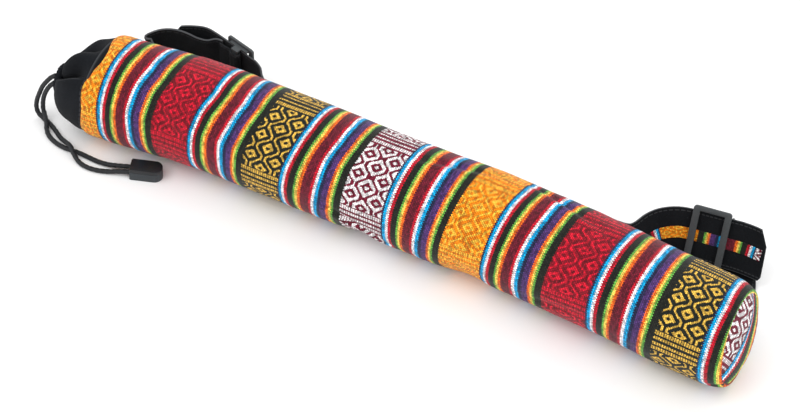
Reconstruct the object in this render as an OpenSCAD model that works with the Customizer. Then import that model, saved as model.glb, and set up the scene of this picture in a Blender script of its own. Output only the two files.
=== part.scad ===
// Padded tubular carry bag of striped woven cloth for a flute.
// It lies on its side: +X runs along the tube from the drawstring mouth to the base,
// +Y points to the side where the shoulder strap lies, +Z is up.

/* [Bag] */
// Length of the woven tube between its two end seams
tube_len = 560; // [400:5:800]
// Outer radius of the woven tube
tube_r = 42.5; // [36:0.5:50]
// Depth of the flat that the soft tube settles into where it rests
rest_flat = 0.5; // [0.3:0.1:1]
// Thickness of the woven outer cloth with its interlining
cloth_t = 1.6; // [1.2:0.1:2.4]
// Thickness of the foam padding
pad_t = 5; // [3:0.5:8]
// Thickness of the lining cloth
lining_t = 0.8; // [0.6:0.1:1.4]
// Gap between cloth layers that lie on each other
layer_gap = 0.2; // [0.1:0.05:0.3]
// Radius of the rolled edge round the base
rim_r = 6; // [4:0.5:8]
// Width of the tube's cloth that shows on the base inside the rolled edge
rim_turn = 1.5; // [1:0.5:4]

/* [Collar] */
// Thickness of the collar's black cotton
collar_t = 1.4; // [1:0.1:2.5]
// Length of the gathered collar along the bag
collar_d = 34; // [28:1:60]
// Radius of the mouth that the drawn collar leaves open
mouth_r = 9; // [8:0.5:16]
// How far the slack mouth drops below the tube's axis
mouth_drop = 0; // [0:0.5:8]
// How far the slack mouth leans to the front
mouth_lean = 14; // [0:0.5:18]
// Outer radius of the hem that holds the drawstring
hem_r = 3.6; // [3.4:0.1:5]
// Width of the tapes that cover the two end seams inside the bag
tape_w = 14; // [10:1:24]
// Thickness of those tapes
tape_t = 1; // [0.6:0.1:1.4]

/* [Drawstring] */
// Diameter of the drawstring
cord_d = 4; // [3:0.1:5]
// Space round the drawstring in its hem and in its end piece
cord_gap = 0.3; // [0.2:0.05:0.5]
// Length of the plastic cord end
end_len = 26; // [24:0.5:36]
// Width of the cord end
end_w = 14; // [13:0.5:20]
// Height of the cord end's tray
tray_h = 7.8; // [7.4:0.1:9]
// Thickness of the cord end's lid
lid_t = 2.4; // [1.6:0.1:3]
// Wall of the cord end's tray
end_wall = 1.3; // [1.2:0.1:1.4]
// Depth of the lid's locating lip
lip_d = 1; // [0.6:0.1:1.2]
// Diameter of the knots inside the cord end
knot_d = 5.2; // [4.8:0.1:5.6]

/* [Strap] */
// Width of the shoulder strap
strap_w = 40; // [36:1:44]
// Thickness of the strap's webbing
strap_t = 1.6; // [1.2:0.1:2]
// Width of the woven ribbon sewn along the strap
ribbon_w = 9; // [6:0.5:14]
// Thickness of that ribbon
ribbon_t = 0.4; // [0.3:0.05:0.6]
// Thickness of the patches that the two short straps are sewn to
patch_t = 1.6; // [1.2:0.1:2]
// Length of the patch beside the collar
mouth_patch_len = 18; // [14:1:24]
// Length of the patch near the base
base_patch_len = 44; // [42:1:50]

/* [Sliders] */
// Length of a slider along the strap
slider_l = 28; // [26:0.5:34]
// Width of a slider's two outer bars
bar_w = 4.5; // [4:0.25:6]
// Thickness of a slider's bars
bar_t = 2.2; // [1.8:0.1:3]
// Width of a slider's end pieces beside the strap
cheek_w = 4; // [3:0.25:5]
// Clearance between a slider and the straps that run through it
slide_gap = 0.3; // [0.25:0.05:0.5]
// Width of a slider's middle bar
middle_w = 5.6; // [5:0.2:7]
// Length of the sewn strap end from the middle of the slider
tail_len = 16; // [14:1:18]
// Distance from the middle of the slider to the end of the short strap that it is sewn to
cut_len = 14.5; // [14:0.5:16]

/* [Hidden] */
$fn = 96;

// Small overlap that keeps a cut from ending on a face
cut = 1;
axis_z = tube_r - rest_flat;
x_mouth = -tube_len / 2;
x_base = tube_len / 2;

// Layers from the outside in
pad_out = tube_r - cloth_t - layer_gap;
pad_in = pad_out - pad_t;
lining_out = pad_in - layer_gap;
lining_in = lining_out - lining_t;
// Stack of the base, from the outside in
panel_x = x_base - cloth_t - layer_gap;
pad_base_x = panel_x - cloth_t - layer_gap;
lining_base_x = pad_base_x - pad_t - layer_gap;
base_inside = lining_base_x - lining_t;
// Tapes over the seams, just inside the cloth, and how far the first one reaches into the collar
tape_out = pad_out - 2 * layer_gap;
tape_lap = 2;
// Mouth edge of the padding, inside the collar's seam tape
pad_mouth = x_mouth - tape_lap + tape_w + layer_gap;

// Collar
collar_sides = 48;
collar_rings = 9;
hem_major = mouth_r + hem_r;
hem_at = [x_mouth - layer_gap - collar_d - hem_r - layer_gap, -mouth_lean, axis_z - mouth_drop];
cord_r = cord_d / 2;

// Half length, radius and axis height of the bag whose cords and straps the points below trace;
// the points move with the bag's ends and its back
traced_bag = [280, 42.5, 42];
mouth_moves = x_mouth + traced_bag[0];
base_moves = x_base - traced_bag[0];
back_moves = tube_r - traced_bag[1];
function laid(p) = [p[0] + mouth_moves, p[1], p[2] > 10 ? p[2] * axis_z / traced_bag[2] : p[2]];
function by_mouth(s) = [s[0] + mouth_moves, s[1] + back_moves, s[2], s[3]];
function by_middle(s) = [s[0] * x_base / traced_bag[0], s[1] + back_moves, s[2], s[3]];
function by_base(s) = [s[0] + base_moves, s[1] + back_moves, s[2], s[3]];

// Vector helpers
function unit(v) = v / norm(v);
function mix(a, b, t) = a + (b - a) * t;

// Catmull-Rom curve through the points p, with n steps between neighbours
function at(p, i) = p[max(0, min(len(p) - 1, i))];
function curve_at(a, b, c, d, t) =
    0.5 * (2 * b + (c - a) * t + (2 * a - 5 * b + 4 * c - d) * t * t + (3 * b - a - 3 * c + d) * t * t * t);
function curve(p, n) = concat(
    [for (i = [0 : len(p) - 2]) for (k = [0 : n - 1])
        curve_at(at(p, i - 1), at(p, i), at(p, i + 1), at(p, i + 2), k / n)],
    [p[len(p) - 1]]);
function along(p, i) = unit(at(p, i + 1) - at(p, i - 1));

// Triangles between rings of an even number m of points, with flat caps, and the solid that they close.
// The second half of a ring has its diagonals turned, so a twisted band keeps its thickness
function skin(n, m) = [for (i = [0 : n - 2]) for (j = [0 : m - 1]) for (t = [0, 1])
    let(a = i * m + j, b = i * m + (j + 1) % m)
    j < m / 2 ? (t == 0 ? [a, b, b + m] : [a, b + m, a + m]) : (t == 0 ? [a, b, a + m] : [b, b + m, a + m])];
function cap(m, first) = [for (j = [0 : m / 2 - 2]) for (t = [0, 1])
    let(a = first + j, b = a + 1, c = first + m - 2 - j, d = c + 1)
    t == 0 ? [a, b, c] : [a, c, d]];
function turned(f) = [for (t = f) [t[0], t[2], t[1]]];
function caps(n, m) = concat(turned(cap(m, 0)), cap(m, (n - 1) * m));
module swept(rings) {
    n = len(rings);
    m = len(rings[0]);
    polyhedron(points = [for (r = rings) each r], faces = concat(skin(n, m), caps(n, m)));
}

// Round cord along the points p
function side_of(t) = unit(cross(t, abs(t[2]) > 0.9 ? [0, 1, 0] : [0, 0, 1]));
function cord_rings(p, r, sides) = [for (i = [0 : len(p) - 1])
    let(t = along(p, i), s = side_of(t), u = cross(s, t))
    [for (k = [0 : sides - 1]) p[i] + r * (cos(360 * k / sides) * s - sin(360 * k / sides) * u)]];

// Shape turned about the tube's axis: the profile's x is the radius, its y is +X
module about_tube() {
    translate([0, 0, axis_z])
        rotate([0, 90, 0])
            rotate_extrude()
                children();
}
module ring_section(r_in, r_out, x0, x1) {
    translate([r_in, x0])
        square([r_out - r_in, x1 - x0]);
}
// Half section of a cup whose closed end has a rounded edge
module cup_section(r, x0, x1, edge) {
    translate([0, x0])
        square([r, x1 - edge - x0]);
    translate([0, x0])
        square([r - edge, x1 - x0]);
    translate([r - edge, x1 - edge])
        circle(edge);
}

module woven_tube() {
    color([0.62, 0.2, 0.2])
        difference() {
            about_tube()
                difference() {
                    intersection() {
                        cup_section(tube_r, x_mouth, x_base, rim_r);
                        translate([0, x_mouth])
                            square([tube_r, tube_len]);
                    }
                    cup_section(tube_r - cloth_t, x_mouth - cut, x_base - cloth_t, rim_r - cloth_t);
                    translate([0, x_base - cloth_t - cut])
                        square([tube_r - rim_r - rim_turn, cloth_t + 2 * cut]);
                }
            translate([x_mouth - cut, -tube_r, -tube_r])
                cube([tube_len + 2 * cut, 2 * tube_r, tube_r]);
        }
}

module base_panel() {
    color([0.7, 0.25, 0.2])
        about_tube()
            ring_section(0, tube_r - rim_r - layer_gap, panel_x - cloth_t, panel_x);
}

module padding_tube() {
    color([0.8, 0.8, 0.76])
        about_tube()
            ring_section(pad_in, pad_out, pad_mouth, pad_base_x - pad_t - tape_w);
}

module padding_base() {
    color([0.8, 0.8, 0.76])
        about_tube()
            ring_section(0, tube_r - rim_r - layer_gap, pad_base_x - pad_t, pad_base_x);
}

module lining_tube() {
    color([0.12, 0.13, 0.15])
        about_tube()
            ring_section(lining_in, lining_out, pad_mouth, base_inside - layer_gap);
}

module lining_base() {
    color([0.12, 0.13, 0.15])
        about_tube()
            ring_section(0, lining_out, lining_base_x - lining_t, lining_base_x);
}

// Tape that covers the seam between the tube and the collar
module collar_seam_tape() {
    color([0.1, 0.11, 0.12])
        about_tube()
            ring_section(tape_out - tape_t, tape_out, x_mouth - tape_lap, x_mouth - tape_lap + tape_w);
}

// Tape that covers the seam between the tube and the base, between the padding's two pieces
module base_seam_tape() {
    color([0.1, 0.11, 0.12])
        about_tube()
            ring_section(tape_out - tape_t, tape_out, pad_base_x - pad_t - tape_w + layer_gap,
                         pad_base_x - pad_t - layer_gap);
}

// Ring of the gathered collar at turn a, 0 at the seam and 90 at the mouth, t inside the outer face
function collar_ring(a, t) = [for (k = [0 : collar_sides - 1])
    let(q = 360 * k / collar_sides, s = pow(sin(a), 2),
        r = mouth_r + (tube_r - layer_gap - t - mouth_r) * cos(a))
    [x_mouth - layer_gap - (collar_d - t) * sin(a),
     r * cos(q) - mouth_lean * s,
     axis_z + r * sin(q) - mouth_drop * s]];
module collar() {
    outer = [for (i = [0 : collar_rings - 1]) collar_ring(90 * i / (collar_rings - 1), 0)];
    inner = [for (i = [collar_rings - 1 : -1 : 0]) collar_ring(90 * i / (collar_rings - 1), collar_t)];
    rings = concat(outer, inner);
    n = len(rings);
    m = collar_sides;
    // The last ring closes on the first, so the shell has a rim at both ends
    faces = [for (i = [0 : n - 1]) for (j = [0 : m - 1]) for (t = [0, 1])
        let(k = (j + 1) % m, i1 = (i + 1) % n, a = i * m + j, b = i * m + k, c = i1 * m + k, d = i1 * m + j)
        t == 0 ? [a, b, c] : [a, c, d]];
    color([0.12, 0.13, 0.15])
        polyhedron(points = [for (r = rings) each r], faces = faces);
}

module about_mouth() {
    translate(hem_at)
        rotate([0, 90, 0])
            rotate_extrude()
                children();
}
module collar_hem() {
    color([0.1, 0.11, 0.12])
        about_mouth()
            translate([hem_major, 0])
                difference() {
                    circle(hem_r);
                    circle(cord_r + cord_gap);
                }
}
module drawstring_loop() {
    color([0.05, 0.05, 0.06])
        about_mouth()
            translate([hem_major, 0])
                circle(cord_r);
}

// Place and turn of the cord end on the floor: the middle of the end where the cords go in
end_at = laid([-236, -48.2, 0]);
end_turn = 20;
cord_pitch = 6;
cord_hole_z = 4.6;
// How far each cord reaches into the cord end
cord_in = 4;
function in_end(p) = end_at + [cos(end_turn) * p[0] - sin(end_turn) * p[1],
                               sin(end_turn) * p[0] + cos(end_turn) * p[1], p[2]];

// Free cords: from the hem, down to the floor, across each other twice, into the cord end
outer_route = concat(
    [for (p = [[-318, -24.5, 49], [-321.5, -26.5, 46.5], [-325.5, -27.5, 41], [-329.5, -28, 34],
     [-332.5, -28.5, 26], [-335, -29, 18], [-336, -29.5, 10.5], [-334, -30.5, 5], [-329, -31.5, 2.4],
     [-321.5, -34, 2.2],
     [-313, -38.5, 2.2], [-305, -43.5, 2.4], [-297.5, -47.5, 4.6], [-290, -51.5, 6.8], [-284, -56, 4.6],
     [-277, -59.5, 2.4], [-269, -61, 2.2], [-260, -60, 2.2], [-251, -57, 2.6], [-243.4, -54, 3.9]]) laid(p)],
    [in_end([0, -cord_pitch / 2, cord_hole_z]), in_end([cord_in, -cord_pitch / 2, cord_hole_z])]);
inner_route = concat(
    [for (p = [[-318, -26.5, 43], [-322, -28, 38.5], [-325.5, -28.5, 32], [-328.5, -28.5, 24],
     [-330, -28.5, 16], [-329.5, -29.5, 10], [-326.5, -32, 7.2], [-322.5, -36.5, 5], [-319, -41.5, 2.6],
     [-313.5, -46.5, 2.2],
     [-305.5, -50, 2.2], [-297, -51.5, 2.2], [-289, -51, 2.2], [-281, -50.8, 2.2], [-273, -51.2, 2.2],
     [-264, -51.6, 2.4], [-255, -50.8, 3], [-246, -48.6, 4.1]]) laid(p)],
    [in_end([0, cord_pitch / 2, cord_hole_z]), in_end([cord_in, cord_pitch / 2, cord_hole_z])]);
cord_sides = 10;
module drawstring_tail_outer() {
    color([0.05, 0.05, 0.06])
        swept(cord_rings(outer_route, cord_r, cord_sides));
}
module drawstring_tail_inner() {
    color([0.05, 0.05, 0.06])
        swept(cord_rings(inner_route, cord_r, cord_sides));
}

// Outline of the cord end: square where the cords go in, round at the other end
module end_outline(inset) {
    r = end_w / 2 - inset;
    translate([inset, -r])
        square([end_len - end_w / 2 - inset, 2 * r]);
    translate([end_len - end_w / 2, 0])
        circle(r);
}
module place_end() {
    translate(end_at)
        rotate([0, 0, end_turn])
            children();
}
module cord_end_tray() {
    color([0.17, 0.19, 0.2])
        place_end()
            difference() {
                linear_extrude(tray_h)
                    end_outline(0);
                translate([0, 0, end_wall / 2])
                    linear_extrude(tray_h)
                        end_outline(end_wall);
                for (s = [-1, 1])
                    translate([-cut, s * cord_pitch / 2, cord_hole_z])
                        rotate([0, 90, 0])
                            cylinder(r = cord_r + cord_gap, h = end_wall + 2 * cut);
            }
}
module cord_end_lid() {
    color([0.12, 0.13, 0.14])
        place_end() {
            translate([0, 0, tray_h])
                linear_extrude(lid_t)
                    end_outline(0);
            translate([0, 0, tray_h - lip_d])
                linear_extrude(lip_d)
                    difference() {
                        end_outline(end_wall + cord_gap / 2);
                        end_outline(end_wall + cord_gap / 2 + lip_d / 2);
                        square([2 * (cord_in + knot_d), end_w], center = true);
                    }
        }
}
module cord_knots() {
    color([0.05, 0.05, 0.06])
        place_end()
            for (s = [-1, 1])
                translate([cord_in + knot_d / 2 + layer_gap, s * cord_pitch / 2, cord_hole_z])
                    sphere(d = knot_d, $fn = 48);
}

// Straight runs of the strap through its two sliders: middle, turn in plan, lean and height of the lower edge
mouth_run_at = [x_mouth + 70, tube_r + 33];
mouth_run_turn = -15;
mouth_run_lean = -90;
mouth_run_lift = 4.8;
base_run_at = [x_base - 79, tube_r + 48.5];
base_run_turn = 8.5;
base_run_lean = 56;
base_run_lift = 6.5;
function on_run(c, turn, s) = [c[0] + s * cos(turn), c[1] + s * sin(turn)];
function mouth_run(s) = concat(on_run(mouth_run_at, mouth_run_turn, s), [mouth_run_lift, mouth_run_lean]);
function base_run(s) = concat(on_run(base_run_at, base_run_turn, s), [base_run_lift, base_run_lean]);

// Stations of the strap: x, y, the height of its lower edge, and its lean:
// -90 stands with the ribbon to the back, 0 lies with the ribbon up, 90 stands with the ribbon to the front
strap_stations = concat(
    [for (s = [[-267, 73.5, 4.8, -90], [-256.5, 80, 4.8, -90], [-245, 83.8, 4.8, -90]]) by_mouth(s)],
    [for (s = [-24, -18, 0, 14, 20]) mouth_run(s)],
    [for (s = [[-184, 66.5, 4.4, -90], [-179, 61, 4, -88], [-171, 57.5, 3, -80], [-159, 58, 1, -66]])
        by_mouth(s)],
    [for (s = [[-138, 61, 0.3, -44], [-108, 62, 0.3, -20], [-66, 63, 0.3, -4], [0, 64, 0.3, 0],
               [60, 63, 0.3, 4]]) by_middle(s)],
    [for (s = [[92, 61, 0.3, 12], [110, 60, 0.3, 24], [124, 60, 0.3, 40], [135, 61.5, 0.4, 56],
               [143, 65.5, 0.6, 70], [148, 71.5, 1.2, 78], [152, 77.5, 2.4, 76], [158, 82.3, 4.6, 65]])
        by_base(s)],
    [for (s = [-34, -24, 0, 20, 26]) base_run(s)],
    [for (s = [[236, 95.2, 6.4, 57], [246.5, 94.4, 6.2, 60]]) by_base(s)]);
// The short strap from its patch beside the collar to its slider
mouth_turn_down = 25;
patch_out = tube_r + layer_gap + patch_t + layer_gap;
mouth_stations = concat(
    [[x_mouth + 18, patch_out * cos(mouth_turn_down), 5, mouth_turn_down - 90]],
    [for (s = [[-270, 41.4, 5, -67], [-277, 45.5, 5, -76], [-280.5, 52, 5, -86], [-279.5, 60, 4.8, -90],
               [-273.5, 67, 4.8, -90], [-262.5, 72, 4.8, -90], [-250, 76.6, 4.8, -90], [-240, 79.7, 4.8, -90],
               [-231.3, 80.85, 4.8, -90]]) by_mouth(s)],
    [mouth_run(-cut_len)]);
strap_steps = 5;
strap_across = [-strap_w / 2, -ribbon_w / 2, ribbon_w / 2, strap_w / 2];

// Middle of the strap: its lower edge rests at the station's height
function strap_mid(s) = concat([s[0], s[1], s[2] + strap_w / 2 * abs(sin(s[3]))], [s[3]]);
function strap_curve(stations) = curve([for (s = stations) strap_mid(s)], strap_steps);
function place_of(s) = [s[0], s[1], s[2]];
// Ring of a band between the heights n0 and n1 over the strap's underside, with points at w across it
function band_ring(c, i, w, n0, n1) =
    let(p = place_of(c[i]), t = unit(place_of(at(c, i + 1)) - place_of(at(c, i - 1))), a = c[i][3],
        h = unit(cross([0, 0, 1], t)), u = cross(t, h), across = cos(a) * h + sin(a) * u, n = cross(t, across),
        last = len(w) - 1)
    concat([for (k = [0 : last]) p + w[k] * across + n0 * n],
           [for (k = [last : -1 : 0]) p + w[k] * across + n1 * n]);
module band(stations, w, n0, n1) {
    c = strap_curve(stations);
    swept([for (i = [0 : len(c) - 1]) band_ring(c, i, w, n0, n1)]);
}
// Layers under the strap in a slider: the short strap's end, then its sewn tail
under_top = -slide_gap;
under_low = under_top - strap_t;
tail_top = under_low - slide_gap;

module strap() {
    color([0.1, 0.11, 0.13])
        band(strap_stations, strap_across, 0, strap_t);
}
module strap_ribbon() {
    color([0.85, 0.5, 0.15])
        band(strap_stations, [-ribbon_w / 2, ribbon_w / 2], strap_t + layer_gap,
             strap_t + layer_gap + ribbon_t);
}
module strap_mouth() {
    color([0.1, 0.11, 0.13])
        band(mouth_stations, strap_across, under_low, under_top);
}

// Point given along, across and over the straight run near the base
run_z = base_run_lift + strap_w / 2 * sin(base_run_lean);
function by_run(p) =
    let(along_run = [cos(base_run_turn), sin(base_run_turn), 0],
        side = [-sin(base_run_turn), cos(base_run_turn), 0],
        across = cos(base_run_lean) * side + [0, 0, sin(base_run_lean)],
        n = cross(along_run, across))
    concat(base_run_at, [run_z]) + p[0] * along_run + p[1] * across + p[2] * n;
function turn_run(v) = by_run(v) - by_run([0, 0, 0]);
function sheet_ring(a, b, n) =
    [a - strap_t / 2 * n, b - strap_t / 2 * n, b + strap_t / 2 * n, a + strap_t / 2 * n];
// The short strap from the base lies on the floor, goes up behind the long one and folds over to its slider
fold_low = -6.4;
fold_top = under_top - strap_t / 2;
fold_mid = (fold_low + fold_top) / 2;
base_turn_down = 48;
base_patch_at = x_base - 44;
base_left = base_patch_at - strap_w / 2;
base_right = base_patch_at + strap_w / 2;
base_end = [patch_out * cos(base_turn_down), axis_z - patch_out * sin(base_turn_down)];
floor_mid = 0.3 + strap_t / 2;
function on_floor(x, y, z) = [x, y + back_moves, z];
module strap_base() {
    rings = [
        sheet_ring([base_left, base_end[0], base_end[1]], [base_right, base_end[0], base_end[1]],
                   unit([0, 0.65, 0.76])),
        sheet_ring(on_floor(base_left, 36, 4.8), on_floor(base_right, 36, 4.8), unit([0, 0.5, 0.85])),
        sheet_ring(on_floor(base_left, 42, 2.2), on_floor(base_right, 42, 2.2), unit([0, 0.28, 0.95])),
        sheet_ring(on_floor(base_left, 50, floor_mid), on_floor(base_right, 50, floor_mid), [0, 0, 1]),
        sheet_ring(on_floor(base_left, 66, floor_mid), on_floor(base_right - 2, 66, floor_mid), [0, 0, 1]),
        sheet_ring(on_floor(base_left - 0.5, 76, floor_mid + 0.3),
                   on_floor(base_right - 6, 80, floor_mid + 0.3),
                   unit([0, -0.1, 1])),
        sheet_ring(by_run([15.5, -19, fold_low]), by_run([47, -19, fold_low]), turn_run(unit([0, 0.3, 0.95]))),
        sheet_ring(by_run([15.5, 16, fold_low]), by_run([47, -18, fold_low]), turn_run([0, 0, 1])),
        sheet_ring(by_run([17, 17.5, fold_mid]), by_run([48.5, -16.5, fold_mid]), turn_run(unit([-1, -1, 0]))),
        sheet_ring(by_run([15.7, 17, fold_top]), by_run([47, -18, fold_top]), turn_run([0, 0, -1])),
        sheet_ring(by_run([cut_len, strap_w / 2 - 1, fold_top]), by_run([cut_len, 1 - strap_w / 2, fold_top]),
                   turn_run([0, 0, -1]))];
    color([0.1, 0.11, 0.13])
        swept(rings);
}

// A slider in its own frame: x along the strap, y across it, z towards its ribbon
bar_z = strap_t + layer_gap + ribbon_t + slide_gap;
middle_z = under_low - slide_gap;
module slider() {
    half = strap_w / 2 + slide_gap;
    // Cheeks beside the strap, deep in the middle where they carry the middle bar
    for (s = [-1, 1])
        translate([0, s * (half + cheek_w / 2), 0])
            rotate([90, 0, 0])
                linear_extrude(cheek_w, center = true)
                    polygon([[-slider_l / 2, bar_z + bar_t], [-slider_l / 2, bar_z],
                             [-middle_w, middle_z - bar_t], [middle_w, middle_z - bar_t],
                             [slider_l / 2, bar_z], [slider_l / 2, bar_z + bar_t]]);
    for (s = [-1, 1])
        translate([s * (slider_l - bar_w) / 2, 0, bar_z + bar_t / 2])
            cube([bar_w, 2 * half, bar_t], center = true);
    translate([0, 0, middle_z - bar_t / 2])
        cube([middle_w, 2 * half, bar_t], center = true);
}
// Short strap's end sewn round the middle bar, with its tail on the side of -x
module sewn_end() {
    loop_out = middle_w / 2 + slide_gap + strap_t;
    loop_low = middle_z - bar_t - slide_gap - strap_t;
    rotate([90, 0, 0])
        linear_extrude(strap_w - 2, center = true)
            difference() {
                union() {
                    translate([-loop_out, loop_low])
                        square([2 * loop_out, under_top - loop_low]);
                    translate([-tail_len, tail_top - strap_t])
                        square([tail_len - loop_out + strap_t / 2, strap_t]);
                }
                translate([-middle_w / 2 - slide_gap, middle_z - bar_t - slide_gap])
                    square([middle_w + 2 * slide_gap, bar_t + 2 * slide_gap]);
            }
}
module place_base_run() {
    translate(concat(base_run_at, [run_z]))
        rotate([base_run_lean, 0, base_run_turn])
            children();
}
module place_mouth_run() {
    translate(concat(mouth_run_at, [mouth_run_lift + strap_w / 2]))
        rotate([mouth_run_lean, 0, mouth_run_turn])
            children();
}
module slider_base() {
    color([0.2, 0.22, 0.23])
        place_base_run()
            slider();
}
module slider_mouth() {
    color([0.2, 0.22, 0.23])
        place_mouth_run()
            slider();
}
// The base's short strap comes from the other side, so its sewn end is turned round
module strap_base_sewn_end() {
    color([0.1, 0.11, 0.13])
        place_base_run()
            rotate([0, 0, 180])
                sewn_end();
}
module strap_mouth_sewn_end() {
    color([0.1, 0.11, 0.13])
        place_mouth_run()
            sewn_end();
}

// Patch sewn to the tube from x0 on, turned down from the back by the angle down
module strap_patch(x0, length, down, half_turn) {
    translate([x0, 0, axis_z])
        rotate([90, 0, 90])
            linear_extrude(length)
                rotate(-down)
                    difference() {
                        circle(tube_r + layer_gap + patch_t);
                        circle(tube_r + layer_gap);
                        for (s = [-1, 1])
                            rotate(s * half_turn)
                                translate([-2 * tube_r, s > 0 ? 0 : -2 * tube_r])
                                    square([4 * tube_r, 2 * tube_r]);
                    }
}
module strap_base_patch() {
    color([0.1, 0.11, 0.13])
        strap_patch(base_patch_at - base_patch_len / 2, base_patch_len, base_turn_down, 18);
}
module strap_mouth_patch() {
    color([0.1, 0.11, 0.13])
        strap_patch(x_mouth + 2, mouth_patch_len, mouth_turn_down, 27);
}

woven_tube();
base_panel();
padding_tube();
padding_base();
lining_tube();
lining_base();
collar();
collar_hem();
collar_seam_tape();
base_seam_tape();
drawstring_loop();
drawstring_tail_outer();
drawstring_tail_inner();
cord_knots();
cord_end_tray();
cord_end_lid();
strap();
strap_ribbon();
strap_base();
strap_mouth();
strap_base_sewn_end();
strap_mouth_sewn_end();
slider_base();
slider_mouth();
strap_base_patch();
strap_mouth_patch();
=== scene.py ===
# %% [markdown]
# # A padded drawstring tube bag in striped woven cloth
# The bag lies on its side with the mouth to the left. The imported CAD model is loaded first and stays
# as the fixed frame: every piece below is made in metres in that same frame, takes the place of its
# plain solid, and rides on one of the model's bodies.

# %% Load the frame
import math
from contextlib import contextmanager

import bpy
import numpy as np
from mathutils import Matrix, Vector


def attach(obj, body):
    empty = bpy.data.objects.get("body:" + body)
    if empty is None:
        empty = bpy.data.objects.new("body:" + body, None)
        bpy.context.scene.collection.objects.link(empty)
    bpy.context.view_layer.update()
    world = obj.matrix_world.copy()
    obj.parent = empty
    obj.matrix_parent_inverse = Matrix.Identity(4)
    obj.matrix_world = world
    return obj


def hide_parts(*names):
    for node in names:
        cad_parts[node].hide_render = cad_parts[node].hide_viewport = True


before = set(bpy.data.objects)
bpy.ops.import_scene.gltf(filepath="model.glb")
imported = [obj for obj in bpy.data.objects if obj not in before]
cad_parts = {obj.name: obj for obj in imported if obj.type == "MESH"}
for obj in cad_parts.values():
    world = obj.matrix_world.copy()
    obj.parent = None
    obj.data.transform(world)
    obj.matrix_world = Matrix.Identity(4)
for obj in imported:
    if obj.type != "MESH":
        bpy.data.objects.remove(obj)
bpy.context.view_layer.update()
MM = 0.001
FULL_TURN = 2 * math.pi

# %% [markdown]
# ## Camera
# A long lens looks down at the bag from the front right. The camera is placed by its point and its
# target, so that it stays level, and its lens gives the same frame as the picture being matched.

# %% Camera
EYE = Vector((1.0653, -1.9257, 2.3349))
TARGET = Vector((-0.0330, 0.0252, 0.0))
bpy.ops.object.select_all(action="DESELECT")
bpy.ops.object.camera_add(location=EYE, rotation=(TARGET - EYE).to_track_quat("-Z", "Y").to_euler())
camera = bpy.context.object
camera.name = "camera"
camera.data.sensor_width = 36
camera.data.lens = 185.46
camera.data.clip_end = 20
bpy.context.scene.camera = camera
print("camera", [round(x, 3) for x in camera.location])

# %% [markdown]
# ## Inputs of nodes
# The world, the floor and every finish are node trees. Two short functions give the inputs of their
# nodes numbers, colours or links.

# %% Inputs of nodes
def connect(socket, value):
    """Gives one input a number, a colour or a link."""
    value = getattr(value, "socket", value)
    if isinstance(value, bpy.types.NodeSocket):
        socket.id_data.links.new(value, socket)
    else:
        socket.default_value = value


def feed(node, **values):
    """Gives a node's inputs their values by name, with _ for a space."""
    for label, value in values.items():
        connect(node.inputs[label.replace("_", " ")], value)


print("inputs take numbers, colours and links")

# %% [markdown]
# ## Light and floor
# Product pictures of cloth are lit by large soft boxes over a white table. A bright even world fills
# the shadows, one big area light from the upper left gives the folds their shape, and two weaker ones
# from the right and from behind lift the base end and the upper edge.

# %% Light and floor
scene = bpy.context.scene
scene.view_settings.view_transform = "Standard"
world = bpy.data.worlds.new("soft_room")
scene.world = world
world.use_nodes = True
feed(world.node_tree.nodes["Background"], Color=(1.0, 1.0, 1.0, 1), Strength=0.98)

for name, place, aim, size, watts in (
        ("key_box", (-0.9, -0.9, 1.9), (0, 0, 0), (1.6, 1.3), 14),
        ("side_box", (1.5, -0.5, 1.3), (0.1, 0, 0), (1.0, 1.0), 8),
        ("back_box", (0.2, 1.5, 1.5), (0, 0, 0), (1.6, 0.8), 8)):
    bpy.ops.object.light_add(type="AREA", location=place)
    lamp = bpy.context.object
    lamp.name = name
    lamp.data.shape = "RECTANGLE"
    lamp.data.size, lamp.data.size_y = size
    lamp.data.energy = watts
    lamp.rotation_euler = (Vector(aim) - Vector(place)).to_track_quat("-Z", "Y").to_euler()

bpy.ops.mesh.primitive_plane_add(size=12)
floor = bpy.context.object
floor.name = "floor"
paper = bpy.data.materials.new("pale_paper")
paper.use_nodes = True
feed(paper.node_tree.nodes["Principled BSDF"], Base_Color=(0.96, 0.96, 0.96, 1), Roughness=0.9,
     Specular_IOR_Level=0.1)
floor.data.materials.append(paper)

# %% [markdown]
# ## Small tools for the nodes
# Cloth finishes here are sums over thread counts. A value in a node tree is wrapped, so that plain
# signs between values write the chains of Math nodes, and each effect that several finishes share is
# built once as a node group.

# %% Values in a node tree
class Value:
    """A number in a node tree: signs and named operations on it add Math nodes."""

    def __init__(self, wires, socket):
        self.wires, self.socket = wires, socket

    def op(self, operation, *others):
        return self.wires.math(operation, self, *others)

    def __gt__(self, other):
        return self.op("GREATER_THAN", other)

    def __lt__(self, other):
        return self.op("LESS_THAN", other)


for sign, operation in (("add", "ADD"), ("sub", "SUBTRACT"), ("mul", "MULTIPLY"), ("truediv", "DIVIDE")):
    setattr(Value, f"__{sign}__", lambda a, b, operation=operation: a.op(operation, b))
    setattr(Value, f"__r{sign}__", lambda a, b, operation=operation: a.wires.math(operation, b, a))
print("values take + - * / < and >")

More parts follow.
